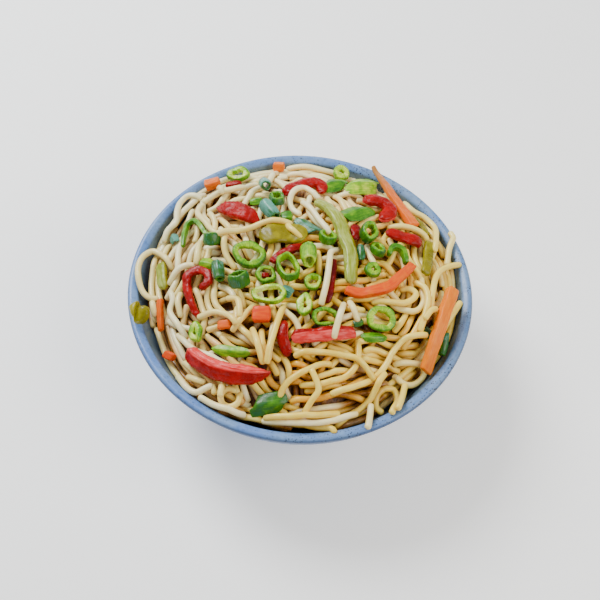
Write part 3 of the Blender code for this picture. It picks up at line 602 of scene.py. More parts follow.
# Carrot: batons, cubes and thin shavings with crisp cut edges. The cut faces show the root's
# long fibres, and the thin end of the long one has dried to tan.
CARROT = (
    dict(name="carrot_cube_left", start=(-50.5, 54.5), heading=6, arcs=((7.5, 0),), width=6.0, thick=4.6,
         ends=(1, 1), dry=0.0, redder=0.3),
    dict(name="carrot_cube_top", start=(-18, 71.5), heading=-4, arcs=((6, 0),), width=4.6, thick=4.4,
         ends=(1, 1), dry=0.1, redder=0.2),
    dict(name="carrot_chunk", start=(-20.5, -28), heading=2, arcs=((8, 0),), width=7.2, thick=4.8,
         ends=(1, 1), dry=0.0, redder=0.85),
    dict(name="carrot_long", start=(53, 34.4), heading=119, arcs=((45, -5),), width=6.4, thick=3.6,
         ends=(1, 0.55), taper=0.45, rise_to=10.5, dry=1.0, redder=0.35),
    dict(name="carrot_curve", start=(20, -12.5), heading=-14, arcs=((12, 28), (11, 34), (18, 12)),
         width=4.8, thick=4.0, ends=(0.75, 0.9), dry=0.12, redder=0.7),
    dict(name="carrot_baton", start=(70.6, -2.2), heading=-106, arcs=((41, -2),), width=5.6, thick=4.4,
         ends=(1, 1), dry=0.0, redder=0.0),
    dict(name="carrot_sliver", start=(-65, -13), heading=-86, arcs=((15, 6),), width=2.8, thick=2.6,
         ends=(1, 0.8), dry=0.3, redder=0.5),
)
CARROT_DRY_FROM = 16  # millimetres along the strip
CARROT_DRY_TO = 44


def carrot_finish():
    made, tree, shader, place = start_material("carrot")
    blotch, fine = cloud(tree, place, 5 * MM), cloud(tree, place, 0.7 * MM, 3.0)
    fibres = streaks(tree, 0.5, 6)
    yellow = mixed(tree, spread(tree, fibres, 0.3, 0.7), paint(224, 108, 0), paint(238, 132, 0))
    red = mixed(tree, spread(tree, fibres, 0.3, 0.7), paint(208, 24, 0), paint(222, 66, 0))
    body = mixed(tree, own(tree, "redder"), yellow, red)
    body = mixed(tree, spread(tree, blotch, 0.5, 0.75, 0.0, 0.3), body, paint(244, 140, 6))
    along = put(tree, "ShaderNodeSeparateXYZ", {0: own(tree, "grain", "Vector")}).outputs["Y"]
    dried = math_of(tree, "MULTIPLY", spread(tree, along, CARROT_DRY_FROM, CARROT_DRY_TO), own(tree, "dry"))
    body = mixed(tree, dried, body, paint(176, 122, 62))
    rough = spread(tree, fine, 0.3, 0.7, 0.3, 0.5)
    height = math_of(tree, "ADD", fibres, math_of(tree, "MULTIPLY", fine, 0.5))
    set_surface(tree, shader, body, rough, height, 0.2 * MM)
    moisten(shader, scatter=0.12, reach=(0.003, 0.0012, 0.0004), shine=0.25, oil=0.04, oil_roughness=0.2)
    return made


carrot = carrot_finish()
for seed, spec in enumerate(CARROT, 21):
    make_piece(spec["name"] + "_cut", strip_shape(spec, seed, STICK), carrot, "carrot",
               0.16 * MM, (spec["name"],), dry=spec["dry"], redder=spec["redder"])


# Green sweet pepper in broad strips: olive skin, and pale grey-green flesh where the cut face
# or the inner side lies uppermost. One strip hangs over the left rim.
GREEN_PEPPER = (
    dict(name="green_pepper_hook", start=(4.6, 37.5), heading=-14, arcs=((11, -44), (10, -12), (32, -20)),
         width=7.2, thick=4.6, roll=20, ends=(0.8, 0.75), skin=(0, 64), tone=0.0),
    dict(name="green_pepper_wide", start=(-19, 14), heading=36, arcs=((23, -56),), width=11.4, thick=3.2,
         ends=(0.7, 0.8), skin=(90, 180), tone=0.4),
    dict(name="green_pepper_outer", start=(54, 42.5), heading=-50, arcs=((12, -16),), width=4.6,
         thick=3.0, ends=(0.8, 0.8), skin=(90, 150), tone=0.35),
    dict(name="green_pepper_upright", start=(61, 28), heading=-92, arcs=((23, -8),), width=5.2, thick=3.4,
         ends=(0.85, 0.9), skin=(90, 150), tone=0.3),
    dict(name="green_pepper_rim", start=(-79, -22), heading=-10, arcs=((11.5, -4),), width=8.6, thick=6.4,
         ends=(0.6, 0.95), rise_from=5.6, skin=(90, 170), tone=0.2),
    dict(name="green_pepper_pale", start=(-67.5, 8), heading=-82, arcs=((16, 8),), width=5.8, thick=3.4,
         ends=(0.6, 0.6), skin=(0, 30), tone=0.1),
)


def green_pepper_finish():
    made, tree, shader, place = start_material("green_pepper")
    blotch, fine = cloud(tree, place, 5 * MM), cloud(tree, place, 0.8 * MM, 3.0)
    ribs = streaks(tree, 1.2, 8)
    skin = mixed(tree, spread(tree, blotch, 0.35, 0.68), paint(124, 116, 0), paint(158, 150, 0))
    flesh = mixed(tree, spread(tree, ribs, 0.35, 0.68), paint(134, 146, 30), paint(170, 180, 92))
    edge = math_of(tree, "ADD", own(tree, "skin"), math_of(tree, "MULTIPLY", blotch, 0.3))
    body = mixed(tree, spread(tree, edge, 0.5, 0.8), flesh, skin)
    # Painted shade: the tone attribute darkens and dulls the strips that lie deeper among the others.
    dark = mixed(tree, 1.0, body, paint(190, 172, 120), "MULTIPLY")
    body = mixed(tree, own(tree, "tone"), body, dark)
    rough = spread(tree, fine, 0.3, 0.7, 0.24, 0.42)
    height = math_of(tree, "ADD", math_of(tree, "MULTIPLY", ribs, 0.6), math_of(tree, "MULTIPLY", fine, 0.4))
    set_surface(tree, shader, body, rough, height, 0.2 * MM)
    moisten(shader, scatter=0.12, reach=(0.0014, 0.0018, 0.0005), shine=0.25, oil=0.1, oil_roughness=0.15)
    return made


green_pepper = green_pepper_finish()
for seed, spec in enumerate(GREEN_PEPPER, 41):
    make_piece(spec["name"] + "_strip", strip_shape(spec, seed, PEPPER), green_pepper, "green_pepper",
               0.25 * MM, (spec["name"],), tone=spec["tone"])


# Spring onion leaves, slit and folded: thin arched strips with fine veins along them. "shade" runs
# from blue-green (0) over dark, bright and lime green to nearly white (1).
ONION_LEAVES = (
    dict(name="onion_leaf_dark", start=(-3, 27.4), heading=-44, arcs=((11.5, 8),), width=6.2, thick=2.2,
         ends=(0.6, 0.9), slant=0.5, shade=0.08),
    dict(name="onion_leaf_shade", start=(27.4, 14.6), heading=-94, arcs=((8.5, 10),), width=4.0,
         thick=2.0, ends=(0.6, 0.6), shade=0.2),
    dict(name="onion_leaf_bright", start=(17.5, 30.5), heading=30, arcs=((18, 14),), width=9.0, thick=3.0,
         ends=(0.7, 0.1), slant=-0.5, shade=0.44),
    dict(name="onion_leaf_far", start=(9.6, 55), heading=34, arcs=((11, -14),), width=9.6, thick=3.4,
         ends=(0.7, 0.6), slant=0.6, shade=0.44),
    dict(name="onion_leaf_pale", start=(19, 56), heading=22, arcs=((18, 10),), width=11.4, thick=3.8,
         ends=(0.4, 0.7), slant=0.5, shade=0.7),
    dict(name="onion_arch", start=(-57.3, 13), heading=92, arcs=((14, -8), (6, -140), (12, -8)),
         section=STICK, width=2.2, thick=2.6, ends=(0.8, 1), shade=0.52),
    dict(name="onion_arc", start=(40.6, 11), heading=92, arcs=((3, -20), (8.5, -145), (5.5, -8)),
         section=STICK, width=2.8, thick=3.6, ends=(0.7, 0.8), shade=0.46),
    dict(name="onion_slice", start=(-38, -42.5), heading=-12, arcs=((17, 10),), width=4.6, thick=1.6,
         ends=(0.3, 0.5), slant=-0.5, shade=0.62),
    dict(name="onion_fold", start=(-17.5, -67), heading=12, arcs=((14, -10),), width=9.2, thick=3.4,
         ends=(0.85, 0.5), slant=0.4, shade=0.3),
    dict(name="onion_strip_right", start=(29.5, -33.5), heading=12, arcs=((11, 8),), width=4.6, thick=2.0,
         ends=(0.6, 0.4), slant=-0.5, shade=0.5),
    dict(name="onion_over_carrot", start=(59, -21.5), heading=-36, arcs=((9, -10),), width=3.6, thick=1.6,
         ends=(0.7, 0.7), shade=0.16),
)


def onion_finish():
    made, tree, shader, place = start_material("spring_onion")
    blotch, fine = cloud(tree, place, 4 * MM), cloud(tree, place, 0.6 * MM, 3.0)
    veins = streaks(tree, 0.45, 5)
    shade = math_of(tree, "ADD", own(tree, "shade"), spread(tree, blotch, 0.3, 0.7, -0.1, 0.12))
    shade = math_of(tree, "ADD", shade, spread(tree, veins, 0.3, 0.7, -0.09, 0.08))
    inside = math_of(tree, "SUBTRACT", 1.0, own(tree, "skin"))
    shade = math_of(tree, "ADD", shade, math_of(tree, "MULTIPLY", inside, 0.26))
    ramp = put(tree, "ShaderNodeValToRGB", {"Fac": shade})
    stops = ((0.0, paint(86, 150, 132)), (0.16, paint(34, 94, 44)), (0.3, paint(38, 94, 2)),
             (0.5, paint(74, 138, 0)), (0.7, paint(136, 182, 0)), (0.86, paint(196, 218, 56)),
             (1.0, paint(236, 238, 154)))
    colours = ramp.color_ramp
    colours.elements[0].position, colours.elements[0].color = stops[0]
    colours.elements[1].position, colours.elements[1].color = stops[-1]
    for position, colour in stops[1:-1]:
        colours.elements.new(position).color = colour
    body, rough = ramp.outputs["Color"], spread(tree, fine, 0.3, 0.7, 0.26, 0.44)
    height = math_of(tree, "ADD", veins, math_of(tree, "MULTIPLY", fine, 0.4))
    set_surface(tree, shader, body, rough, height, 0.12 * MM)
    moisten(shader, scatter=0.1, reach=(0.0008, 0.0014, 0.0004), shine=0.35, oil=0.15, oil_roughness=0.18)
    return made


onion = onion_finish()
for seed, spec in enumerate(ONION_LEAVES, 61):
    shape = strip_shape(spec, seed, spec.get("section", LEAF))
    make_piece(spec["name"] + "_leaf", shape, onion, "spring_onion",
               0.14 * MM, (spec["name"],), shade=spec["shade"])


# Spring onion rings and short tubes, sliced across: a green outside, a paler inside and a cut edge
# that shows the layers. "lean" tips a ring's axis from upright to its heading: at 90 it lies down.
ONION_RINGS = (
    dict(name="onion_ring_wide", middle=(-25, 3), heading=-8, radii=(7.0, 5.6), wall=2.1, high=3.6,
         lean=8, shade=0.4),
    dict(name="onion_tube_green", middle=(-28.3, -12.2), heading=98, radii=(4.1, 4.3), wall=1.2, high=6.5,
         lean=34, shade=0.22),
    dict(name="onion_loop", middle=(-14.5, -17.5), heading=4, radii=(7.2, 4.6), wall=1.5, high=2.8,
         lean=0, shade=0.6),
    dict(name="onion_loop_small", middle=(-16.5, -7.2), heading=0, radii=(4.2, 3.7), wall=1.2, high=2.8,
         lean=6, shade=0.44),
    dict(name="onion_ring_tall", middle=(-6.5, -4), heading=-80, radii=(8.4, 4.4), wall=1.3, high=4.0,
         lean=-16, shade=0.38),
    dict(name="onion_tube_pale", middle=(2.5, 2.5), heading=-86, radii=(4.0, 3.2), wall=1.2, high=11.5,
         lean=76, shade=0.6),
    dict(name="onion_ring_yellow", middle=(5.3, -9.8), heading=96, radii=(3.7, 3.4), wall=1.3, high=3.0,
         lean=12, shade=0.52),
    dict(name="onion_ring_lime", middle=(2.2, -22.5), heading=88, radii=(4.6, 2.6), wall=2.2, high=3.6,
         lean=0, shade=0.64),
    dict(name="onion_cup", middle=(12, -28.3), heading=-88, radii=(3.6, 5.4), wall=1.2, high=4.4, lean=26,
         shade=0.36),
    dict(name="onion_ring_back", middle=(11.2, 15.3), heading=90, radii=(3.7, 3.6), wall=1.1, high=4.6,
         lean=18, shade=0.38),
    dict(name="onion_ring_narrow", middle=(30.8, 20.5), heading=-80, radii=(4.6, 3.5), wall=1.4, high=5.4,
         lean=14, shade=0.32),
    dict(name="onion_ring_pair", middle=(35.2, 11.7), heading=-66, radii=(3.8, 2.6), wall=1.3, high=3.6,
         lean=-8, shade=0.36),
    dict(name="onion_ring_button", middle=(32.8, 0.4), heading=0, radii=(3.0, 3.0), wall=1.7, high=3.0,
         lean=0, shade=0.42),
    dict(name="onion_ring_rim", middle=(17, 70), heading=-90, radii=(3.1, 3.3), wall=1.9, high=3.6,
         lean=48, shade=0.62),
    dict(name="onion_ring_left", middle=(-35, 62), heading=-90, radii=(3.3, 4.9), wall=2.0, high=3.2,
         lean=36, shade=0.5),
    dict(name="onion_tube_teal", middle=(-20.8, 49), heading=-84, radii=(2.5, 2.5), wall=1.2, high=9.5,
         lean=66, shade=0.0),
    dict(name="onion_ring_dark", middle=(-14.3, 39.4), heading=86, radii=(4.6, 3.2), wall=1.3, high=3.6,
         lean=10, shade=0.26),
    dict(name="onion_tube_long", middle=(-17.4, 30.8), heading=-54, radii=(2.7, 2.6), wall=1.2, high=11.5,
         lean=86, shade=0.02),
    dict(name="onion_block", middle=(-43.3, 12.3), heading=84, radii=(3.2, 3.0), wall=1.5, high=6.0,
         lean=40, shade=0.24),
    dict(name="onion_tube_left", middle=(-38.8, -5.5), heading=-76, radii=(2.4, 2.4), wall=1.2, high=10,
         lean=84, shade=0.16),
    dict(name="onion_oval", middle=(-46.6, -33.6), heading=100, radii=(4.0, 2.2), wall=2.1, high=3.0,
         lean=0, shade=0.56),
    dict(name="onion_ring_right", middle=(37.6, -24.3), heading=10, radii=(5.8, 5.0), wall=1.9, high=3.2,
         lean=-6, shade=0.48),
    dict(name="onion_tube_right", middle=(67.9, -27.6), heading=-84, radii=(1.9, 1.9), wall=1.1, high=11,
         lean=84, shade=0.18),
)
RING_SIDES = 44
RING_SECTION = 14
RING_WALL = 1.6  # the cut edge spreads inwards
RING_SQUARENESS = 0.5
LONG_TUBE = 6 * MM  # a tube longer than this is pinched at its far end


def ring_shape(spec, seed):
    """A rounded rectangle swept round an oval, uneven in width and wall, and leant over."""
    x, y = (v * MM for v in spec["middle"])
    high, half_wall = spec["high"] * MM, spec["wall"] * MM / 2
    long_radius, short_radius = (v * MM for v in spec["radii"])
    heading, lean = math.radians(spec["heading"]), math.radians(spec["lean"])
    normal = heap_normal(x, y)
    along = Vector((math.cos(heading), math.sin(heading), 0))
    along = (along - normal * along.dot(normal)).normalized()
    axis = normal * math.cos(lean) + along * math.sin(lean)
    forward = along * math.cos(lean) - normal * math.sin(lean)
    side = axis.cross(forward)
    middle = Vector((x, y, heap_height(x, y)))
    pinched = 0.16 if high > LONG_TUBE else 0
    corners, faces, grains, skins = [], [], [], []
    for i in range(RING_SIDES):
        angle = math.tau * i / RING_SIDES
        round_noise = Vector((math.cos(angle) * 1.1, math.sin(angle) * 1.1, seed))
        swell = 1 + 0.2 * noise.noise(round_noise)
        wall = RING_WALL * half_wall * (1 + 0.4 * noise.noise(round_noise * 1.7))
        tall = high / 2 * (1 + 0.1 * noise.noise(round_noise * 1.4 + Vector((0, 0, 4))))
        outward = forward * math.cos(angle) * long_radius + side * math.sin(angle) * short_radius
        outward_unit = outward.normalized()
        for k in range(RING_SECTION):
            turn = math.tau * k / RING_SECTION
            cosine, sine = math.cos(turn), math.sin(turn)
            off = wall * math.copysign(abs(cosine) ** RING_SQUARENESS, cosine) - (wall - half_wall)
            up = tall * math.copysign(abs(sine) ** RING_SQUARENESS, sine)
            belly = 0.12 * wall * (1 - (up / tall) ** 2)
            pinch = 1 + 0.14 * uneven(up, 5 * MM, seed, 1) - pinched * max(0, up / tall)
            corners.append(middle + (outward * swell + outward_unit * (off + belly)) * pinch + axis * up)
            skins.append(1 if cosine > 0.5 else (0.2 if cosine > -0.3 else 0))
            grains.append((angle * long_radius / MM, up / MM, seed * 10))
    for i in range(RING_SIDES):
        here, beyond = i * RING_SECTION, (i + 1) % RING_SIDES * RING_SECTION
        for k in range(RING_SECTION):
            m = (k + 1) % RING_SECTION
            faces.append((here + k, beyond + k, beyond + m, here + m))
    return corners, faces, grains, skins


for seed, spec in enumerate(ONION_RINGS, 81):
    make_piece(spec["name"] + "_cut", ring_shape(spec, seed), onion, "spring_onion",
               0.2 * MM, (spec["name"],), shade=spec["shade"])


# Scraps: the smallest bits of the same vegetables, stuck to the noodles that they lie on. They
# belong to the noodles' node, so they ride with it.
SCRAPS = (
    dict(start=(-40.5, 53.5), heading=4, arcs=((8, 0),), section=PEPPER, width=3.8, thick=3.0,
         ends=(0.7, 0.7), kind="red_pepper", tone=0.25),
    dict(start=(-18, -7.4), heading=0, arcs=((3.2, 0),), section=STICK, width=2.6, thick=3.8,
         ends=(0.8, 0.8), kind="red_pepper", tone=0.4),
    dict(start=(-60, -38.6), heading=-38, arcs=((6, 0),), section=STICK, width=4.0, thick=3.4,
         ends=(0.8, 0.8), kind="carrot", dry=0.1, redder=0.8),
    dict(start=(-36, -31.5), heading=-5, arcs=((6, 0),), section=STICK, width=4.0, thick=3.0,
         ends=(0.9, 0.8), kind="carrot", dry=0.2, redder=0.5),
    dict(start=(-27.5, 40.5), heading=6, arcs=((6, 0),), section=LEAF, width=5.0, thick=2.4,
         ends=(0.7, 0.8), kind="onion", shade=0.56),
    dict(start=(-11.5, 28), heading=10, arcs=((5.5, 0),), section=STICK, width=5.0, thick=3.2,
         ends=(0.8, 0.8), kind="onion", shade=0.42),
    dict(start=(-47.8, 2.5), heading=-20, arcs=((6, 0),), section=LEAF, width=5.6, thick=2.6,
         ends=(0.8, 0.7), kind="onion", shade=0.62),
    dict(start=(25, -27.8), heading=24, arcs=((4.6, 0),), section=LEAF, width=3.4, thick=1.8,
         ends=(0.7, 0.7), kind="onion", shade=0.3),
    dict(start=(-64, 24.5), heading=-70, arcs=((6, 0),), section=LEAF, width=4.4, thick=2.4,
         ends=(0.8, 0.8), kind="onion", shade=0.02),
    dict(start=(-8.6, -13.4), heading=-30, arcs=((5.5, 0),), section=LEAF, width=5.4, thick=2.8,
         ends=(0.8, 0.8), kind="onion", shade=0.0),
)
SCRAP_SEED = 121
SCRAP_FINISHES = {
    "red_pepper": (red_pepper, "red_pepper", ("tone",)),
    "carrot": (carrot, "carrot", ("dry", "redder")),
    "onion": (onion, "spring_onion", ("shade",)),
}
for number, spec in enumerate(SCRAPS):
    finish, slot, tones = SCRAP_FINISHES[spec["kind"]]
    shape = strip_shape(spec, SCRAP_SEED + number, spec["section"])
    make_piece(f"scrap_{spec['kind']}_{number}", shape, finish, slot,
               0.2 * MM, ("noodles",), **{tone: spec[tone] for tone in tones})


# The noodles: round wheat noodles 3 mm thick, tossed in oil and a little soy. Strands are laid one
# after another on a map of heights, each resting on those below, and most pass under the vegetables.
NOODLE_RADIUS = 1.5 * MM
CELL = 0.6 * MM
MAP_REACH = 84 * MM
STRAND_STEP = 1.2 * MM
PILE_START = 8 * MM
BLOCK_SLACK = 0.55 * MM
SHORTEST_RUN = 22
TUCK = 2.0 * MM
TUCK_LENGTH = 7 * MM
BUNDLE_GAP = 3.05 * MM
ENVELOPE_PASSES = 14
STRAW, WHITE, GOLDEN = 0.0, 0.5, 1.0  # a strand's tint
WALL_REACH = 11 * MM  # a strand nearer the wall than this turns along it
WALL_TURN = 0.3
WALL_PUSH = 0.2
LOOK_AHEAD = 6 * MM
LOOK_ASIDE = 0.6
LOW_PULL = 22
LARGEST_PULL = 0.1
LEAST_NEED = 0.3 * MM
START_TRIES = 14
WAVE_LENGTHS = (22 * MM, 60 * MM)
STEADY_BEND = 14
COURSE_SPREAD = 0.8
EDGE_SWEEPS = (31.5, 84)  # degrees round the wall
EDGE_SWAY = 0.7 * MM
EDGE_WAVE = 9

map_size = round(2 * MAP_REACH / CELL) + 1
map_axis = np.linspace(-MAP_REACH, MAP_REACH, map_size)
map_x, map_y = np.meshgrid(map_axis, map_axis, indexing="ij")
map_radius = np.hypot(map_x, map_y)
cap_reach = int(NOODLE_RADIUS / CELL)
cap_axis = np.arange(-cap_reach, cap_reach + 1) * CELL
cap_off = np.hypot(*np.meshgrid(cap_axis, cap_axis, indexing="ij"))
cap = np.where(cap_off <= NOODLE_RADIUS, np.sqrt(np.maximum(NOODLE_RADIUS**2 - cap_off**2, 0)), -1)


def bowl_surface(radius):
    """The height of the bowl's inside at each radius, and of its lip."""
    out = RIM_RADIUS - LIP_WIDTH - radius
    root = np.sqrt(INSIDE_LEAN**2 + 4 * INSIDE_TURN_IN * np.maximum(out, 0))
    wall = BOWL_HEIGHT - np.minimum((root - INSIDE_LEAN) / (2 * INSIDE_TURN_IN), WALL_DEPTH)
    return np.where(radius > RIM_RADIUS, BOWL_HEIGHT - 30 * MM, wall)


heap_map = np.array([[heap_height(x, y) for y in map_axis] for x in map_axis])
pile = np.maximum(heap_map - PILE_START, bowl_surface(map_radius))
pile = np.where(map_radius > inner_radius(EDGE_DROP), bowl_surface(map_radius), pile)


def vegetable_maps():
    """The lowest and the highest point of the vegetables over each cell."""
    bottom, top = np.full(pile.shape, 1.0), np.full(pile.shape, -1.0)
    for piece in vegetables:
        mesh = piece.data
        mesh.calc_loop_triangles()
        corners = points_of(mesh)
        sides = np.array([tri.vertices[:] for tri in mesh.loop_triangles])
        a, b, c = (corners[sides[:, k]] for k in range(3))
        spots = np.concatenate((a, b, c, (a + b) / 2, (b + c) / 2, (c + a) / 2, (a + b + c) / 3))
        i, j = (np.round((spots[:, k] + MAP_REACH) / CELL).astype(int) for k in range(2))
        np.minimum.at(bottom, (i, j), spots[:, 2])
        np.maximum.at(top, (i, j), spots[:, 2])
    return bottom, top


def strand_limits():
    """For a strand's axis over each cell: the highest place to pass under, the lowest to pass over."""
    bottom, top = vegetable_maps()
    under, over = np.full(pile.shape, 1.0), np.full(pile.shape, -1.0)
    for i in range(-cap_reach, cap_reach + 1):
        for j in range(-cap_reach, cap_reach + 1):
            reach = cap[i + cap_reach, j + cap_reach]
            if reach >= 0:
                under = np.minimum(under, np.roll(bottom, (i, j), (0, 1)) - reach)
                over = np.maximum(over, np.roll(top, (i, j), (0, 1)) + reach)
    return under, over


pass_under, pass_over = strand_limits()


def cell_of(x, y):
    """The map's cell at a place, kept clear of the map's border."""
    i = min(max(int(round((x + MAP_REACH) / CELL)), cap_reach), map_size - 1 - cap_reach)
    j = min(max(int(round((y + MAP_REACH) / CELL)), cap_reach), map_size - 1 - cap_reach)
    return i, j


def resting_height(i, j):
    patch = pile[i - cap_reach:i + cap_reach + 1, j - cap_reach:j + cap_reach + 1]
    return float((patch + cap)[cap >= 0].max())


def strand_heights(cells, climb):
    """Rests a strand's axis on the pile. climb is how far it may be lifted over a vegetable."""
    heights, blocked = [], []
    for i, j in cells:
        z = resting_height(i, j)
        in_way = pass_under[i, j] + BLOCK_SLACK < z < pass_over[i, j] - BLOCK_SLACK
        lifts = in_way and pass_over[i, j] - z < climb
        heights.append(pass_over[i, j] - BLOCK_SLACK if lifts else z)
        blocked.append(in_way and not lifts)
    lowest = np.array(heights)
    heights = lowest.copy()
    for _ in range(ENVELOPE_PASSES if climb == 0 else 2 * ENVELOPE_PASSES):
        padded = np.concatenate(([heights[0]], heights, [heights[-1]]))
        heights = np.maximum(lowest, (padded[:-2] + padded[1:-1] + padded[2:]) / 3)
    for n, (i, j) in enumerate(cells):
        over_it = heights[n] > pass_over[i, j] - BLOCK_SLACK * 1.5
        blocked[n] = blocked[n] or (heights[n] > pass_under[i, j] + BLOCK_SLACK and not over_it)
    return heights, blocked


strands = []


def lay_strand(plan, tint, climb=0.0, ceiling=1.0, shortest=SHORTEST_RUN, tuck=TUCK):
    """Lays the longest free stretch of one strand on the pile, with its ends tucked in."""
    cells = [cell_of(x, y) for x, y in plan]
    heights, blocked = strand_heights(cells, climb)
    runs, run = [], []
    for n, cell in enumerate(cells):
        if blocked[n] or heights[n] > heap_map[cell] + ceiling:
            runs.append(run)
            run = []
        else:
            run.append(n)
    run = max([*runs, run], key=len)
    if len(run) < shortest:
        return
    points = []
    for n in run:
        to_end = min(n - run[0], run[-1] - n) * STRAND_STEP
        sink = tuck * max(0, 1 - to_end / TUCK_LENGTH) ** 2
        points.append((*plan[n], heights[n] - sink))
    for x, y, z in points:
        i, j = cell_of(x, y)
        patch = pile[i - cap_reach:i + cap_reach + 1, j - cap_reach:j + cap_reach + 1]
        np.maximum(patch, np.where(cap >= 0, z + cap, -1), out=patch)
    strands.append((np.array(points), tint))


def wander(draw, x, y, angle, length, swing, target):
    """A route in plan that bends smoothly, seeks low places and turns along the wall."""
    wave, phase = draw.uniform(*WAVE_LENGTHS), draw.uniform(0, math.tau)
    lean = draw.gauss(0, STEADY_BEND)
    plan = []
    for n in range(int(length / STRAND_STEP)):
        plan.append((x, y))
        bend = (swing * math.sin(phase + n * STRAND_STEP / wave * math.tau) + lean) * STRAND_STEP
        room = edge_radius(math.degrees(math.atan2(y, x))) - NOODLE_RADIUS - math.hypot(x, y)
        if room < WALL_REACH:
            along_wall = math.atan2(x, -y)
            if math.cos(along_wall - angle) < 0:
                along_wall += math.pi
            near = 1 - max(room, 0) / WALL_REACH
            bend = bend * (1 - near) + WALL_TURN * near * turn_to(along_wall, angle)
            inward = turn_to(math.atan2(-y, -x), angle)
            bend += WALL_PUSH * max(0, 1 - room / NOODLE_RADIUS) * inward
        else:
            needs = []
            for side in (LOOK_ASIDE, -LOOK_ASIDE):
                ahead_x, ahead_y = math.cos(angle + side) * LOOK_AHEAD, math.sin(angle + side) * LOOK_AHEAD
                spot = cell_of(x + ahead_x, y + ahead_y)
                needs.append(target[spot] - pile[spot])
            bend += max(-LARGEST_PULL, min(LARGEST_PULL, (needs[0] - needs[1]) * LOW_PULL))
        angle += bend
        x += math.cos(angle) * STRAND_STEP
        y += math.sin(angle) * STRAND_STEP
    return plan


def beside(plan, off):
    """The same route, moved sideways."""
    moved = []
    for n, (x, y) in enumerate(plan):
        before, after = plan[max(0, n - 1)], plan[min(len(plan) - 1, n + 1)]
        angle = math.atan2(after[1] - before[1], after[0] - before[0])
        moved.append((x - math.sin(angle) * off, y + math.cos(angle) * off))
    return moved


def fill_edge(draw, tries, ceiling, offs, bearings=(0, 360), raised=0):
    """Lays strands along the wall, off it by millimetres, where the heap meets it or higher by raised."""
    for _ in range(tries):
        bearing, off = draw.uniform(*bearings), draw.choice(offs) * MM
        sweep, wave = draw.uniform(*EDGE_SWEEPS), draw.uniform(0, math.tau)
        plan = []
        for n in range(int(sweep)):
            here = bearing + n
            edge = inner_radius(max(NOODLE_RADIUS, edge_drop(here) - raised)) - WALL_GAP / 2
            out = edge - NOODLE_RADIUS - off - EDGE_SWAY * (1 + math.sin(wave + n / EDGE_WAVE))
            plan.append((out * math.cos(math.radians(here)), out * math.sin(math.radians(here))))
        tint = draw.choices((STRAW, WHITE, GOLDEN), (0.5, 0.25, 0.25))[0]
        lay_strand(plan, tint, ceiling=ceiling)


def fill(draw, tries, level, ceiling, lengths, swings, bundles, shortest):
    """Lays random strands where the pile is lowest, until it is up to the heap plus level."""
    target = heap_map + level
    for _ in range(tries):
        best = None
        for _ in range(START_TRIES):
            bearing, share = draw.uniform(0, math.tau), math.sqrt(draw.uniform(0, 1))
            out = share * (edge_radius(math.degrees(bearing)) - NOODLE_RADIUS)
            x, y = out * math.cos(bearing), out * math.sin(bearing)
            c = cell_of(x, y)
            need = min(target[c], pass_under[c] + NOODLE_RADIUS) - pile[c]
            if best is None or need > best[0]:
                best = (need, x, y)
        need, x, y = best
        if need < LEAST_NEED:
            continue
        angle = math.atan2(y, x) + math.pi / 2 + draw.gauss(0, COURSE_SPREAD)
        length = draw.uniform(*lengths)
        half = length / 2
        swing = draw.uniform(*swings) * draw.choice((-1, 1))
        there = wander(draw, x, y, angle, half, swing, target)
        back = wander(draw, x, y, angle + math.pi, half, -swing, target)
        plan = back[:0:-1] + there
        for n in range(draw.choice(bundles)):
            # Partly painted light: white strands are drawn more often at the left, where the cool window
            # light falls, golden ones at the right.
            right = x / (2 * RIM_RADIUS) + 0.5
            tint = draw.choices((STRAW, WHITE, GOLDEN), (0.5, 0.5 - 0.4 * right, 0.05 + 0.3 * right))[0]
            course = beside(plan, BUNDLE_GAP * n) if n else plan
            lay_strand(course, tint, ceiling=ceiling, shortest=shortest)


draw = random.Random(17)
fill_edge(draw, tries=140, ceiling=0.4 * MM, offs=(0, 0, 2.5, 5))
fill(draw, tries=420, level=-2.5 * MM, ceiling=0.5 * MM, lengths=(60 * MM, 110 * MM), swings=(15, 45),
     bundles=(1, 2, 2), shortest=14)
fill(draw, tries=420, level=0.2 * MM, ceiling=2.2 * MM, lengths=(90 * MM, 170 * MM), swings=(12, 50),
     bundles=(1, 2, 2, 3), shortest=30)

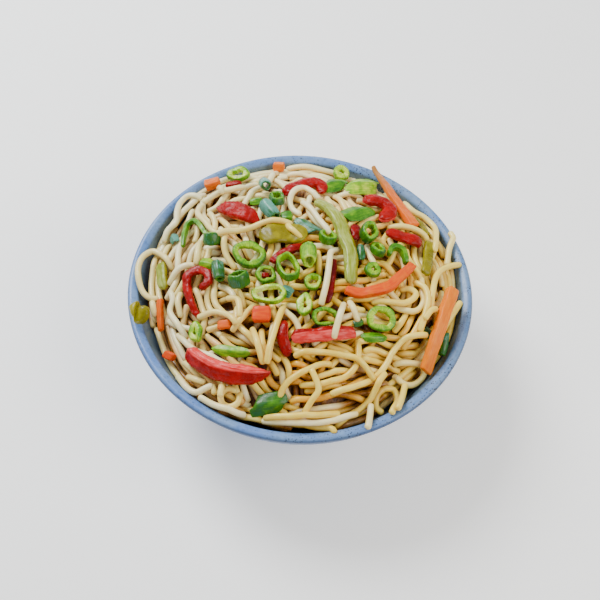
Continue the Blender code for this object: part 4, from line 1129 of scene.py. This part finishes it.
# The strands that the photo shows best, by the places in the 600 x 600 picture that they pass. Each
# place is carried from the picture to the top of the pile, and the strand is laid there.
SHOWN_STRANDS = dict(
    left_loop=((178, 283), (165, 292), (150, 297), (141, 288), (138, 270), (143, 257), (153, 252),
               (163, 256), (172, 266)),
    left_white=((200, 262), (180, 268), (170, 280), (160, 290), (150, 296)),
    left_fall_1=((170, 290), (173, 300), (170, 312), (178, 325), (186, 335)),
    left_fall_2=((182, 283), (178, 300), (181, 315)),
    left_fall_3=((152, 300), (155, 315), (160, 330), (165, 345), (175, 355)),
    smile=((188, 305), (190, 318), (203, 328), (218, 332), (232, 328), (245, 315), (255, 300),
           (258, 290)),
    over_smile=((199, 315), (215, 312), (228, 315), (237, 322)),
    short_fall=((228, 296), (238, 300), (240, 315)),
    round_ring=((225, 232), (224, 245), (228, 258), (238, 268), (255, 272)),
    beside_block=((200, 240), (198, 250), (196, 262)),
    under_pod=((215, 232), (232, 231), (250, 228), (265, 222), (292, 221)),
    to_hook=((288, 222), (292, 229), (305, 237), (322, 241)),
    white_arc=((318, 198), (305, 188), (295, 190), (290, 200), (293, 210), (300, 214)),
    white_diagonal=((303, 200), (312, 210), (322, 223), (330, 231)),
    outer_left=((200, 196), (188, 196), (180, 203), (177, 212), (176, 222), (168, 230), (163, 240)),
    above_pod=((245, 185), (230, 190), (215, 195), (203, 200)),
    small_curl=((224, 176), (219, 178), (217, 184), (222, 190)),
    outer_right=((405, 200), (412, 210), (425, 218), (435, 228), (436, 240), (434, 255), (432, 270)),
    long_right=((375, 222), (400, 226), (418, 231), (428, 240), (422, 258), (415, 270), (405, 278),
                (395, 285)),
    over_rim=((456, 231), (453, 239), (449, 250), (447, 264)),
    big_arc=((460, 262), (445, 268), (437, 275), (433, 290), (431, 310)),
    inner_arc=((415, 280), (425, 288), (428, 300), (425, 315), (421, 328)),
    loop_right=((383, 293), (395, 287), (408, 288), (416, 295), (405, 303), (390, 302), (372, 300),
                (360, 303)),
    beside_baton=((440, 307), (432, 310), (425, 318)),
    over_right_rim=((460, 303), (453, 314), (446, 325), (441, 334)),
    long_diagonal=((430, 328), (415, 335), (403, 340), (393, 352), (386, 365), (372, 380), (350, 388),
                   (330, 392)),
    low_middle=((340, 340), (355, 333), (368, 325)),
    over_bar=((344, 302), (341, 312), (337, 325), (333, 340), (331, 350)),
    bottom_arc=((283, 365), (290, 355), (305, 351), (330, 353), (353, 357), (365, 366), (375, 378)),
    bottom_arc_2=((330, 362), (318, 365), (300, 373), (290, 380), (283, 388), (278, 400)),
    bottom_loop=((312, 418), (305, 410), (295, 402), (283, 403), (277, 410), (283, 420), (295, 425),
                 (312, 427), (330, 428), (335, 432)),
    bottom_fall=((312, 368), (318, 385), (318, 392), (312, 400), (304, 412)),
    small_ring=((240, 392), (238, 402), (230, 407), (222, 403), (221, 394), (228, 388), (237, 389)),
    stub_1=((213, 385), (214, 390), (215, 395)),
    stub_2=((222, 383), (221, 390), (220, 398)),
    low_left=((178, 375), (186, 388), (196, 393), (205, 388), (215, 382)),
    low_left_2=((188, 375), (200, 380), (215, 378)),
    bottom_edge=((200, 395), (215, 405), (235, 412), (255, 412), (270, 418), (285, 428), (300, 430)),
    white_hook=((395, 375), (402, 383), (412, 385), (422, 378), (424, 370), (420, 365), (405, 363),
                (395, 363)),
    low_right_loop=((392, 412), (397, 402), (394, 391), (385, 389), (377, 396), (376, 408), (383, 415)),
    long_low=((385, 372), (375, 390), (365, 405), (350, 415), (335, 425)),
    over_bottom_rim=((371, 405), (370, 415), (368, 428)),
    short_low=((405, 385), (402, 398), (398, 408)),
    meet_1=((262, 318), (262, 340), (265, 358)),
    meet_2=((252, 325), (258, 345), (263, 360)),
    meet_3=((275, 310), (272, 335), (268, 358)),
    meet_4=((285, 300), (278, 320), (270, 345), (267, 360)),
    white_middle=((338, 247), (331, 252), (329, 265), (326, 285), (321, 303)),
    beside_tube=((318, 250), (319, 262), (320, 275)),
    by_curve=((350, 300), (354, 309), (358, 318)),
)
# These pass over vegetables, and the next ones end in the open instead of dipping under others.
CLIMBERS = ("over_bar", "white_diagonal", "white_arc", "under_pod", "to_hook", "white_middle", "over_rim",
            "over_right_rim", "over_bottom_rim", "round_ring")
LOOSE_ENDS = ("stub_1", "stub_2", "over_rim", "over_right_rim", "over_bottom_rim", "beside_baton",
              "short_low", "low_right_loop", "white_arc")
HIGH_CLIMB = 9 * MM
LOW_CLIMB = 2.6 * MM
SHOWN_LIFT = 2 * MM
SHOWN_ROUNDS = 3
LIP_MARGIN = 1.5 * MM


def from_picture(x, y, lift):
    """The place under a picture point, this far above the top of the heap."""
    sight = (camera_right * (x - PICTURE_WIDTH / 2) + camera_up * (PICTURE_WIDTH / 2 - y)
             - camera_back * FOCAL_PIXELS)
    z = BOWL_HEIGHT + HEAP_RISE / 2
    for _ in range(8):
        spot = camera_place + sight * ((z - camera_place.z) / sight.z)
        z = heap_height(spot.x, spot.y) + lift
    return spot.x, spot.y


def within_rim(x, y):
    """The same place, drawn in onto the lip where it lies outside the bowl."""
    share = min(1, (RIM_RADIUS - LIP_MARGIN) / math.hypot(x, y))
    return x * share, y * share


def even_steps(points, step):
    """Points on a line at equal steps."""
    line = np.array(points)
    lengths = np.concatenate(([0], np.cumsum(np.hypot(*np.diff(line, axis=0).T))))
    at_steps = np.arange(0, lengths[-1], step)
    return list(zip(*(np.interp(at_steps, lengths, line[:, k]) for k in range(2))))


def shown_plan(places, lifts):
    """A strand's route in plan through its picture places, each at its own lift above the heap."""
    spots = [from_picture(x, y, lift) for (x, y), lift in zip(places, lifts)]
    first = tuple(2 * a - b for a, b in zip(spots[0], spots[1]))
    last = tuple(2 * a - b for a, b in zip(spots[-1], spots[-2]))
    plan = even_steps(through([first, *spots, last], 8), STRAND_STEP)
    return [within_rim(x, y) for x, y in plan]


for name, places in SHOWN_STRANDS.items():
    climb = HIGH_CLIMB if name in CLIMBERS else LOW_CLIMB
    lifts = [SHOWN_LIFT] * len(places)
    for _ in range(SHOWN_ROUNDS):
        plan = shown_plan(places, lifts)
        cells = [cell_of(x, y) for x, y in plan]
        heights, _ = strand_heights(cells, climb)
        spots = [from_picture(x, y, lift) for (x, y), lift in zip(places, lifts)]
        nearest = [min(range(len(plan)), key=lambda n: math.dist(plan[n], spot)) for spot in spots]
        lifts = [float(heights[n] - heap_map[cells[n]]) for n in nearest]
    plan = shown_plan(places, lifts)
    tint = WHITE if "white" in name else draw.choices((STRAW, WHITE), (0.75, 0.25))[0]
    tuck = 0.2 * TUCK if name in LOOSE_ENDS else 1.1 * TUCK
    lay_strand(plan, tint, climb=climb, shortest=4, tuck=tuck)

fill_edge(draw, tries=60, ceiling=1.6 * MM, offs=(0, 0.8, 3))
fill_edge(draw, tries=24, ceiling=7 * MM, offs=(0, 0.8, 2.4), bearings=(-140, -95), raised=2 * MM)
fill_edge(draw, tries=30, ceiling=4 * MM, offs=(0, 0.8, 2.4, 3.2), bearings=(50, 85), raised=3 * MM)
fill(draw, tries=260, level=-0.2 * MM, ceiling=2.2 * MM, lengths=(50 * MM, 110 * MM), swings=(20, 60),
     bundles=(1, 1, 2), shortest=20)


def blurred(values, passes):
    for _ in range(passes):
        for axis in range(2):
            values = (np.roll(values, 1, axis) + values * 2 + np.roll(values, -1, axis)) / 4
    return values


SKYLINE_PASSES = 24
TIP_LENGTH = 0.55  # of the noodle's radius
TIP_GIRTH = 0.42
NEAR_TIP_GIRTH = 0.84
UNEVEN_GIRTH = 0.05
# Over these depths below the top of the pile a strand turns sauce brown: partly soy and oil, partly painted
# shade.
SAUCE_AND_SHADE_DEPTHS = (0.1 * MM, 5.0 * MM)
TOP_DEPTH = 2.2 * MM
skyline = blurred(np.maximum(pile, heap_map - 2 * MM), SKYLINE_PASSES)


def rounded_end(last, before):
    """The tip past a strand's last point, and a point just short of the tip."""
    tip = last + (last - before) / np.linalg.norm(last - before) * NOODLE_RADIUS * TIP_LENGTH
    return tip, last * 0.45 + tip * 0.55


def tube_points(points):
    """A strand's points with their girth: closed, rounded ends and a slightly uneven thickness."""
    start, start_near = rounded_end(points[0], points[1])
    end, end_near = rounded_end(points[-1], points[-2])
    line = np.vstack((start, start_near, points, end_near, end))
    girth = [1 + UNEVEN_GIRTH * noise.noise(Vector(p) / (8 * MM)) for p in line]
    girth[0], girth[-1] = TIP_GIRTH, TIP_GIRTH
    girth[1], girth[-2] = NEAR_TIP_GIRTH, NEAR_TIP_GIRTH
    return line, girth


def tube_tree():
    """Turns each line into a tube of the noodle's radius times the line's own girth."""
    tree = bpy.data.node_groups.new("noodle_tubes", "GeometryNodeTree")
    tree.interface.new_socket("Geometry", in_out="INPUT", socket_type="NodeSocketGeometry")
    tree.interface.new_socket("Noodle radius", in_out="INPUT", socket_type="NodeSocketFloat")
    tree.interface.new_socket("Sides", in_out="INPUT", socket_type="NodeSocketInt")
    tree.interface.new_socket("Finish", in_out="INPUT", socket_type="NodeSocketMaterial")
    tree.interface.new_socket("Geometry", in_out="OUTPUT", socket_type="NodeSocketGeometry")
    given = put(tree, "NodeGroupInput").outputs
    line = put(tree, "GeometryNodeMeshToCurve", {"Mesh": given["Geometry"]}).outputs["Curve"]
    girth = put(tree, "GeometryNodeInputNamedAttribute", {"Name": "girth"}, data_type="FLOAT")
    thickness = math_of(tree, "MULTIPLY", girth.outputs["Attribute"], given["Noodle radius"])
    circle = put(tree, "GeometryNodeCurvePrimitiveCircle", {"Resolution": given["Sides"], "Radius": 1.0})
    sweep = {"Curve": line, "Profile Curve": circle.outputs["Curve"], "Scale": thickness, "Fill Caps": True}
    tubes = put(tree, "GeometryNodeCurveToMesh", sweep)
    smooth = put(tree, "GeometryNodeSetShadeSmooth", {"Geometry": tubes.outputs["Mesh"]})
    real = put(tree, "GeometryNodeRealizeInstances", {"Geometry": smooth.outputs["Geometry"]})
    finished = put(tree, "GeometryNodeSetMaterial", {"Geometry": real.outputs["Geometry"],
                                                     "Material": given["Finish"]})
    put(tree, "NodeGroupOutput", {"Geometry": finished.outputs["Geometry"]})
    return tree


def noodle_finish():
    made, tree, shader, place = start_material("oiled_noodle")
    blotch, fine = cloud(tree, place, 7 * MM), cloud(tree, place, 0.8 * MM, 3.0)
    tint, sunk = own(tree, "tint"), own(tree, "sunk")
    straw = mixed(tree, spread(tree, blotch, 0.35, 0.68), paint(238, 202, 66), paint(248, 220, 102))
    white = mixed(tree, spread(tree, blotch, 0.35, 0.68), paint(248, 230, 156), paint(253, 240, 190))
    golden = mixed(tree, spread(tree, blotch, 0.35, 0.68), paint(222, 156, 20), paint(238, 184, 50))
    body = mixed(tree, spread(tree, tint, STRAW, WHITE), straw, white)
    body = mixed(tree, spread(tree, tint, WHITE, GOLDEN), body, golden)
    # Sauce and painted shade: strands sunk deep in the pile turn brown, partly from soy and oil, partly as
    # painted shade in the gaps.
    sauce_and_shade = mixed(tree, spread(tree, fine, 0.3, 0.7), paint(124, 72, 2), paint(164, 104, 12))
    axes = put(tree, "ShaderNodeSeparateXYZ", {0: place}).outputs
    side, far = axes["X"], axes["Y"]
    body = mixed(tree, spread(tree, far, 10 * MM, 66 * MM, 0.0, 0.75), body, paint(250, 240, 192))
    # Painted shade: the sides and underside of each strand, facing less upward, are darker and more golden
    # than its top.
    painted_side_shade = spread(tree, own(tree, "up"), 0.75, -0.1, 0.0, 0.6)
    body = mixed(tree, painted_side_shade, body, mixed(tree, 1.0, body, paint(236, 190, 118), "MULTIPLY"))
    # Painted light: noodles are paler and cooler towards the left, where the window light falls, and
    # brighter yellow towards the right.
    body = mixed(tree, spread(tree, side, 0.0, -62 * MM, 0.0, 0.5), body, paint(236, 230, 184))
    body = mixed(tree, spread(tree, side, 14 * MM, 60 * MM, 0.0, 0.55), body, paint(254, 226, 104))
    body = mixed(tree, sunk, body, sauce_and_shade)
    body = mixed(tree, spread(tree, fine, 0.58, 0.78, 0.0, 0.3), body, paint(206, 146, 40))
    set_surface(tree, shader, body, spread(tree, fine, 0.3, 0.7, 0.3, 0.5), fine, 0.1 * MM)
    moisten(shader, scatter=0.18, reach=(0.0022, 0.0014, 0.0007), shine=0.4, oil=0.25, oil_roughness=0.16)
    return made


noodle = noodle_finish()
tubes = tube_tree()


def tube_piece(name, laid, sides, every):
    """One mesh of all these strands, with this many sides, through every so many of their points."""
    corners, edges, girths, tints, depths = [], [], [], [], []
    for points, tint in laid:
        kept = points[::every]
        if (len(points) - 1) % every:
            kept = np.vstack((kept, points[-1:]))
        line, girth = tube_points(kept)
        first = len(corners)
        corners += [tuple(p) for p in line]
        edges += [(first + n, first + n + 1) for n in range(len(line) - 1)]
        girths += girth
        tints += [tint] * len(line)
        depths += [skyline[cell_of(x, y)] - z - NOODLE_RADIUS for x, y, z in line]
    lines = bpy.data.meshes.new(name)
    lines.from_pydata(corners, edges, [])
    point_attribute(lines, "girth", girths)
    point_attribute(lines, "tint", tints)
    point_attribute(lines, "sunk", smoothstep(np.array(depths), *SAUCE_AND_SHADE_DEPTHS))
    source = placed(name, lines)
    sweep = source.modifiers.new("Tubes", "NODES")
    sweep.node_group = tubes
    given = {item.name: item.identifier for item in tubes.interface.items_tree if item.in_out == "INPUT"}
    sweep[given["Noodle radius"]] = NOODLE_RADIUS
    sweep[given["Sides"]] = sides
    sweep[given["Finish"]] = noodle
    mesh = plain_mesh(source, name)
    point_attribute(mesh, "up", [vertex.normal.z for vertex in mesh.vertices])
    piece = placed(name, mesh)
    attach(piece, "root")
    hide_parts("noodles")


def nearest_sky(points):
    """How far below the top of the pile a strand's highest stretch lies."""
    return min(skyline[cell_of(x, y)] - z - NOODLE_RADIUS for x, y, z in points)


shown = [strand for strand in strands if nearest_sky(strand[0]) < TOP_DEPTH]
hidden = [strand for strand in strands if nearest_sky(strand[0]) >= TOP_DEPTH]
tube_piece("noodles_on_top", shown, sides=10, every=1)
tube_piece("noodles_below", hidden, sides=6, every=2)


# The core of the heap: the imported noodles that only show in the gaps between the strands. It is
# painted dark brown, partly oil and soy, partly painted shade for the deep gaps. One closed body
# inside the bowl, a strand or two below the top.
CORE_SINK = 7.5 * MM
CORE_TURNS = 96
CORE_RINGS = 24
CORE_FLOOR_GAP = 1.4 * WALL_GAP


def core_finish():
    made, tree, shader, place = start_material("packed_noodle")
    warped = put(tree, "ShaderNodeMapping", {"Vector": place, "Scale": (1, 0.35, 1)}).outputs["Vector"]
    strand_noise, fine = cloud(tree, warped, 2.4 * MM), cloud(tree, place, 0.8 * MM)
    # Painted dark brown: partly oil and soy, partly painted shade between the strands.
    body = mixed(tree, spread(tree, strand_noise, 0.35, 0.65), paint(84, 42, 4), paint(158, 100, 18))
    set_surface(tree, shader, body, spread(tree, fine, 0.3, 0.7, 0.4, 0.6), strand_noise, 1.2 * MM, 0.8)
    return made


def heap_core():
    """A disc's outline, turned and then moved onto the heap, the bowl's wall and its floor."""
    top, quarters = [k / CORE_RINGS for k in range(CORE_RINGS + 1)], (0.75, 0.5, 0.25, 0)
    profile = [(s, 1) for s in top] + [(1, s) for s in quarters] + [(s, 0) for s in quarters]
    mesh = turned("packed_noodles", profile, CORE_TURNS)
    lowest = BOWL_HEIGHT - WALL_DEPTH + WALL_GAP
    for vertex in mesh.vertices:
        share, level = math.hypot(vertex.co.x, vertex.co.y), vertex.co.z
        angle = math.atan2(vertex.co.y, vertex.co.x)
        bearing = math.degrees(angle)
        depth = edge_drop(bearing) + CORE_SINK
        if level > 0.99:
            distance = share * (inner_radius(depth) - WALL_GAP)
            height = heap_height(distance * math.cos(angle), distance * math.sin(angle)) - CORE_SINK
        elif level > 0.01:
            height = lowest + level * (BOWL_HEIGHT - depth - lowest)
            distance = inner_radius(BOWL_HEIGHT - height) - WALL_GAP
        else:
            distance = share * (inner_radius(WALL_DEPTH) - CORE_FLOOR_GAP)
            height = floor_height(distance) + CORE_FLOOR_GAP
        vertex.co = (distance * math.cos(angle), distance * math.sin(angle), height)
    mesh.update()
    mesh.shade_smooth()
    mesh.materials.clear()
    mesh.materials.append(core_finish())
    return placed("packed_noodles", mesh)


core = heap_core()
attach(core, "root")
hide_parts("noodles")


# The table top is a plain board, painted nearly white and glowing a little, so that the bowl's shadow
# stays soft. Light comes from a pale sky all round, a large soft window on the far left and a weaker,
# warm lamp on the right.
TABLE_HALF = 900 * MM
TABLE_GLOW = 0.35
SKY_COLOUR = (0.95, 0.975, 1.0, 1)
SKY_STRENGTH = 0.55
LIGHTS = (
    dict(name="window", place=(-0.5, 0.5, 0.75), size=0.5, power=15, colour=(0.95, 0.98, 1.0)),
    dict(name="fill", place=(0.6, -0.2, 0.6), size=0.6, power=5, colour=(1.0, 0.94, 0.85)),
)
LIGHTS_AIM = Vector((0, 0, 50)) * MM


def table_finish():
    made, tree, shader, place = start_material("white_table")
    body = mixed(tree, cloud(tree, place, 60 * MM), paint(244, 244, 243), paint(250, 250, 249))
    tree.links.new(body, shader.inputs["Base Color"])
    shader.inputs["Roughness"].default_value = 0.7
    shader.inputs["Emission Color"].default_value = (1, 1, 1, 1)
    shader.inputs["Emission Strength"].default_value = TABLE_GLOW
    return made


table_corners = [(x * TABLE_HALF, y * TABLE_HALF, 0) for x, y in ((-1, -1), (1, -1), (1, 1), (-1, 1))]
table_mesh = bpy.data.meshes.new("table_top")
table_mesh.from_pydata(table_corners, [], [(0, 1, 2, 3)])
table_mesh.materials.append(table_finish())
table_top = placed("table_top", table_mesh)

for spec in LIGHTS:
    light = bpy.data.lights.new(spec["name"], "AREA")
    light.shape = "DISK"
    light.size = spec["size"]
    light.energy = spec["power"]
    light.color = spec["colour"]
    lamp = placed(spec["name"], light)
    lamp.location = spec["place"]
    lamp.rotation_euler = (Vector(spec["place"]) - LIGHTS_AIM).to_track_quat("Z", "Y").to_euler()

sky = bpy.data.worlds.new("sky")
sky.use_nodes = True
backdrop = sky.node_tree.nodes["Background"]
backdrop.inputs["Color"].default_value = SKY_COLOUR
backdrop.inputs["Strength"].default_value = SKY_STRENGTH
bpy.context.scene.world = sky
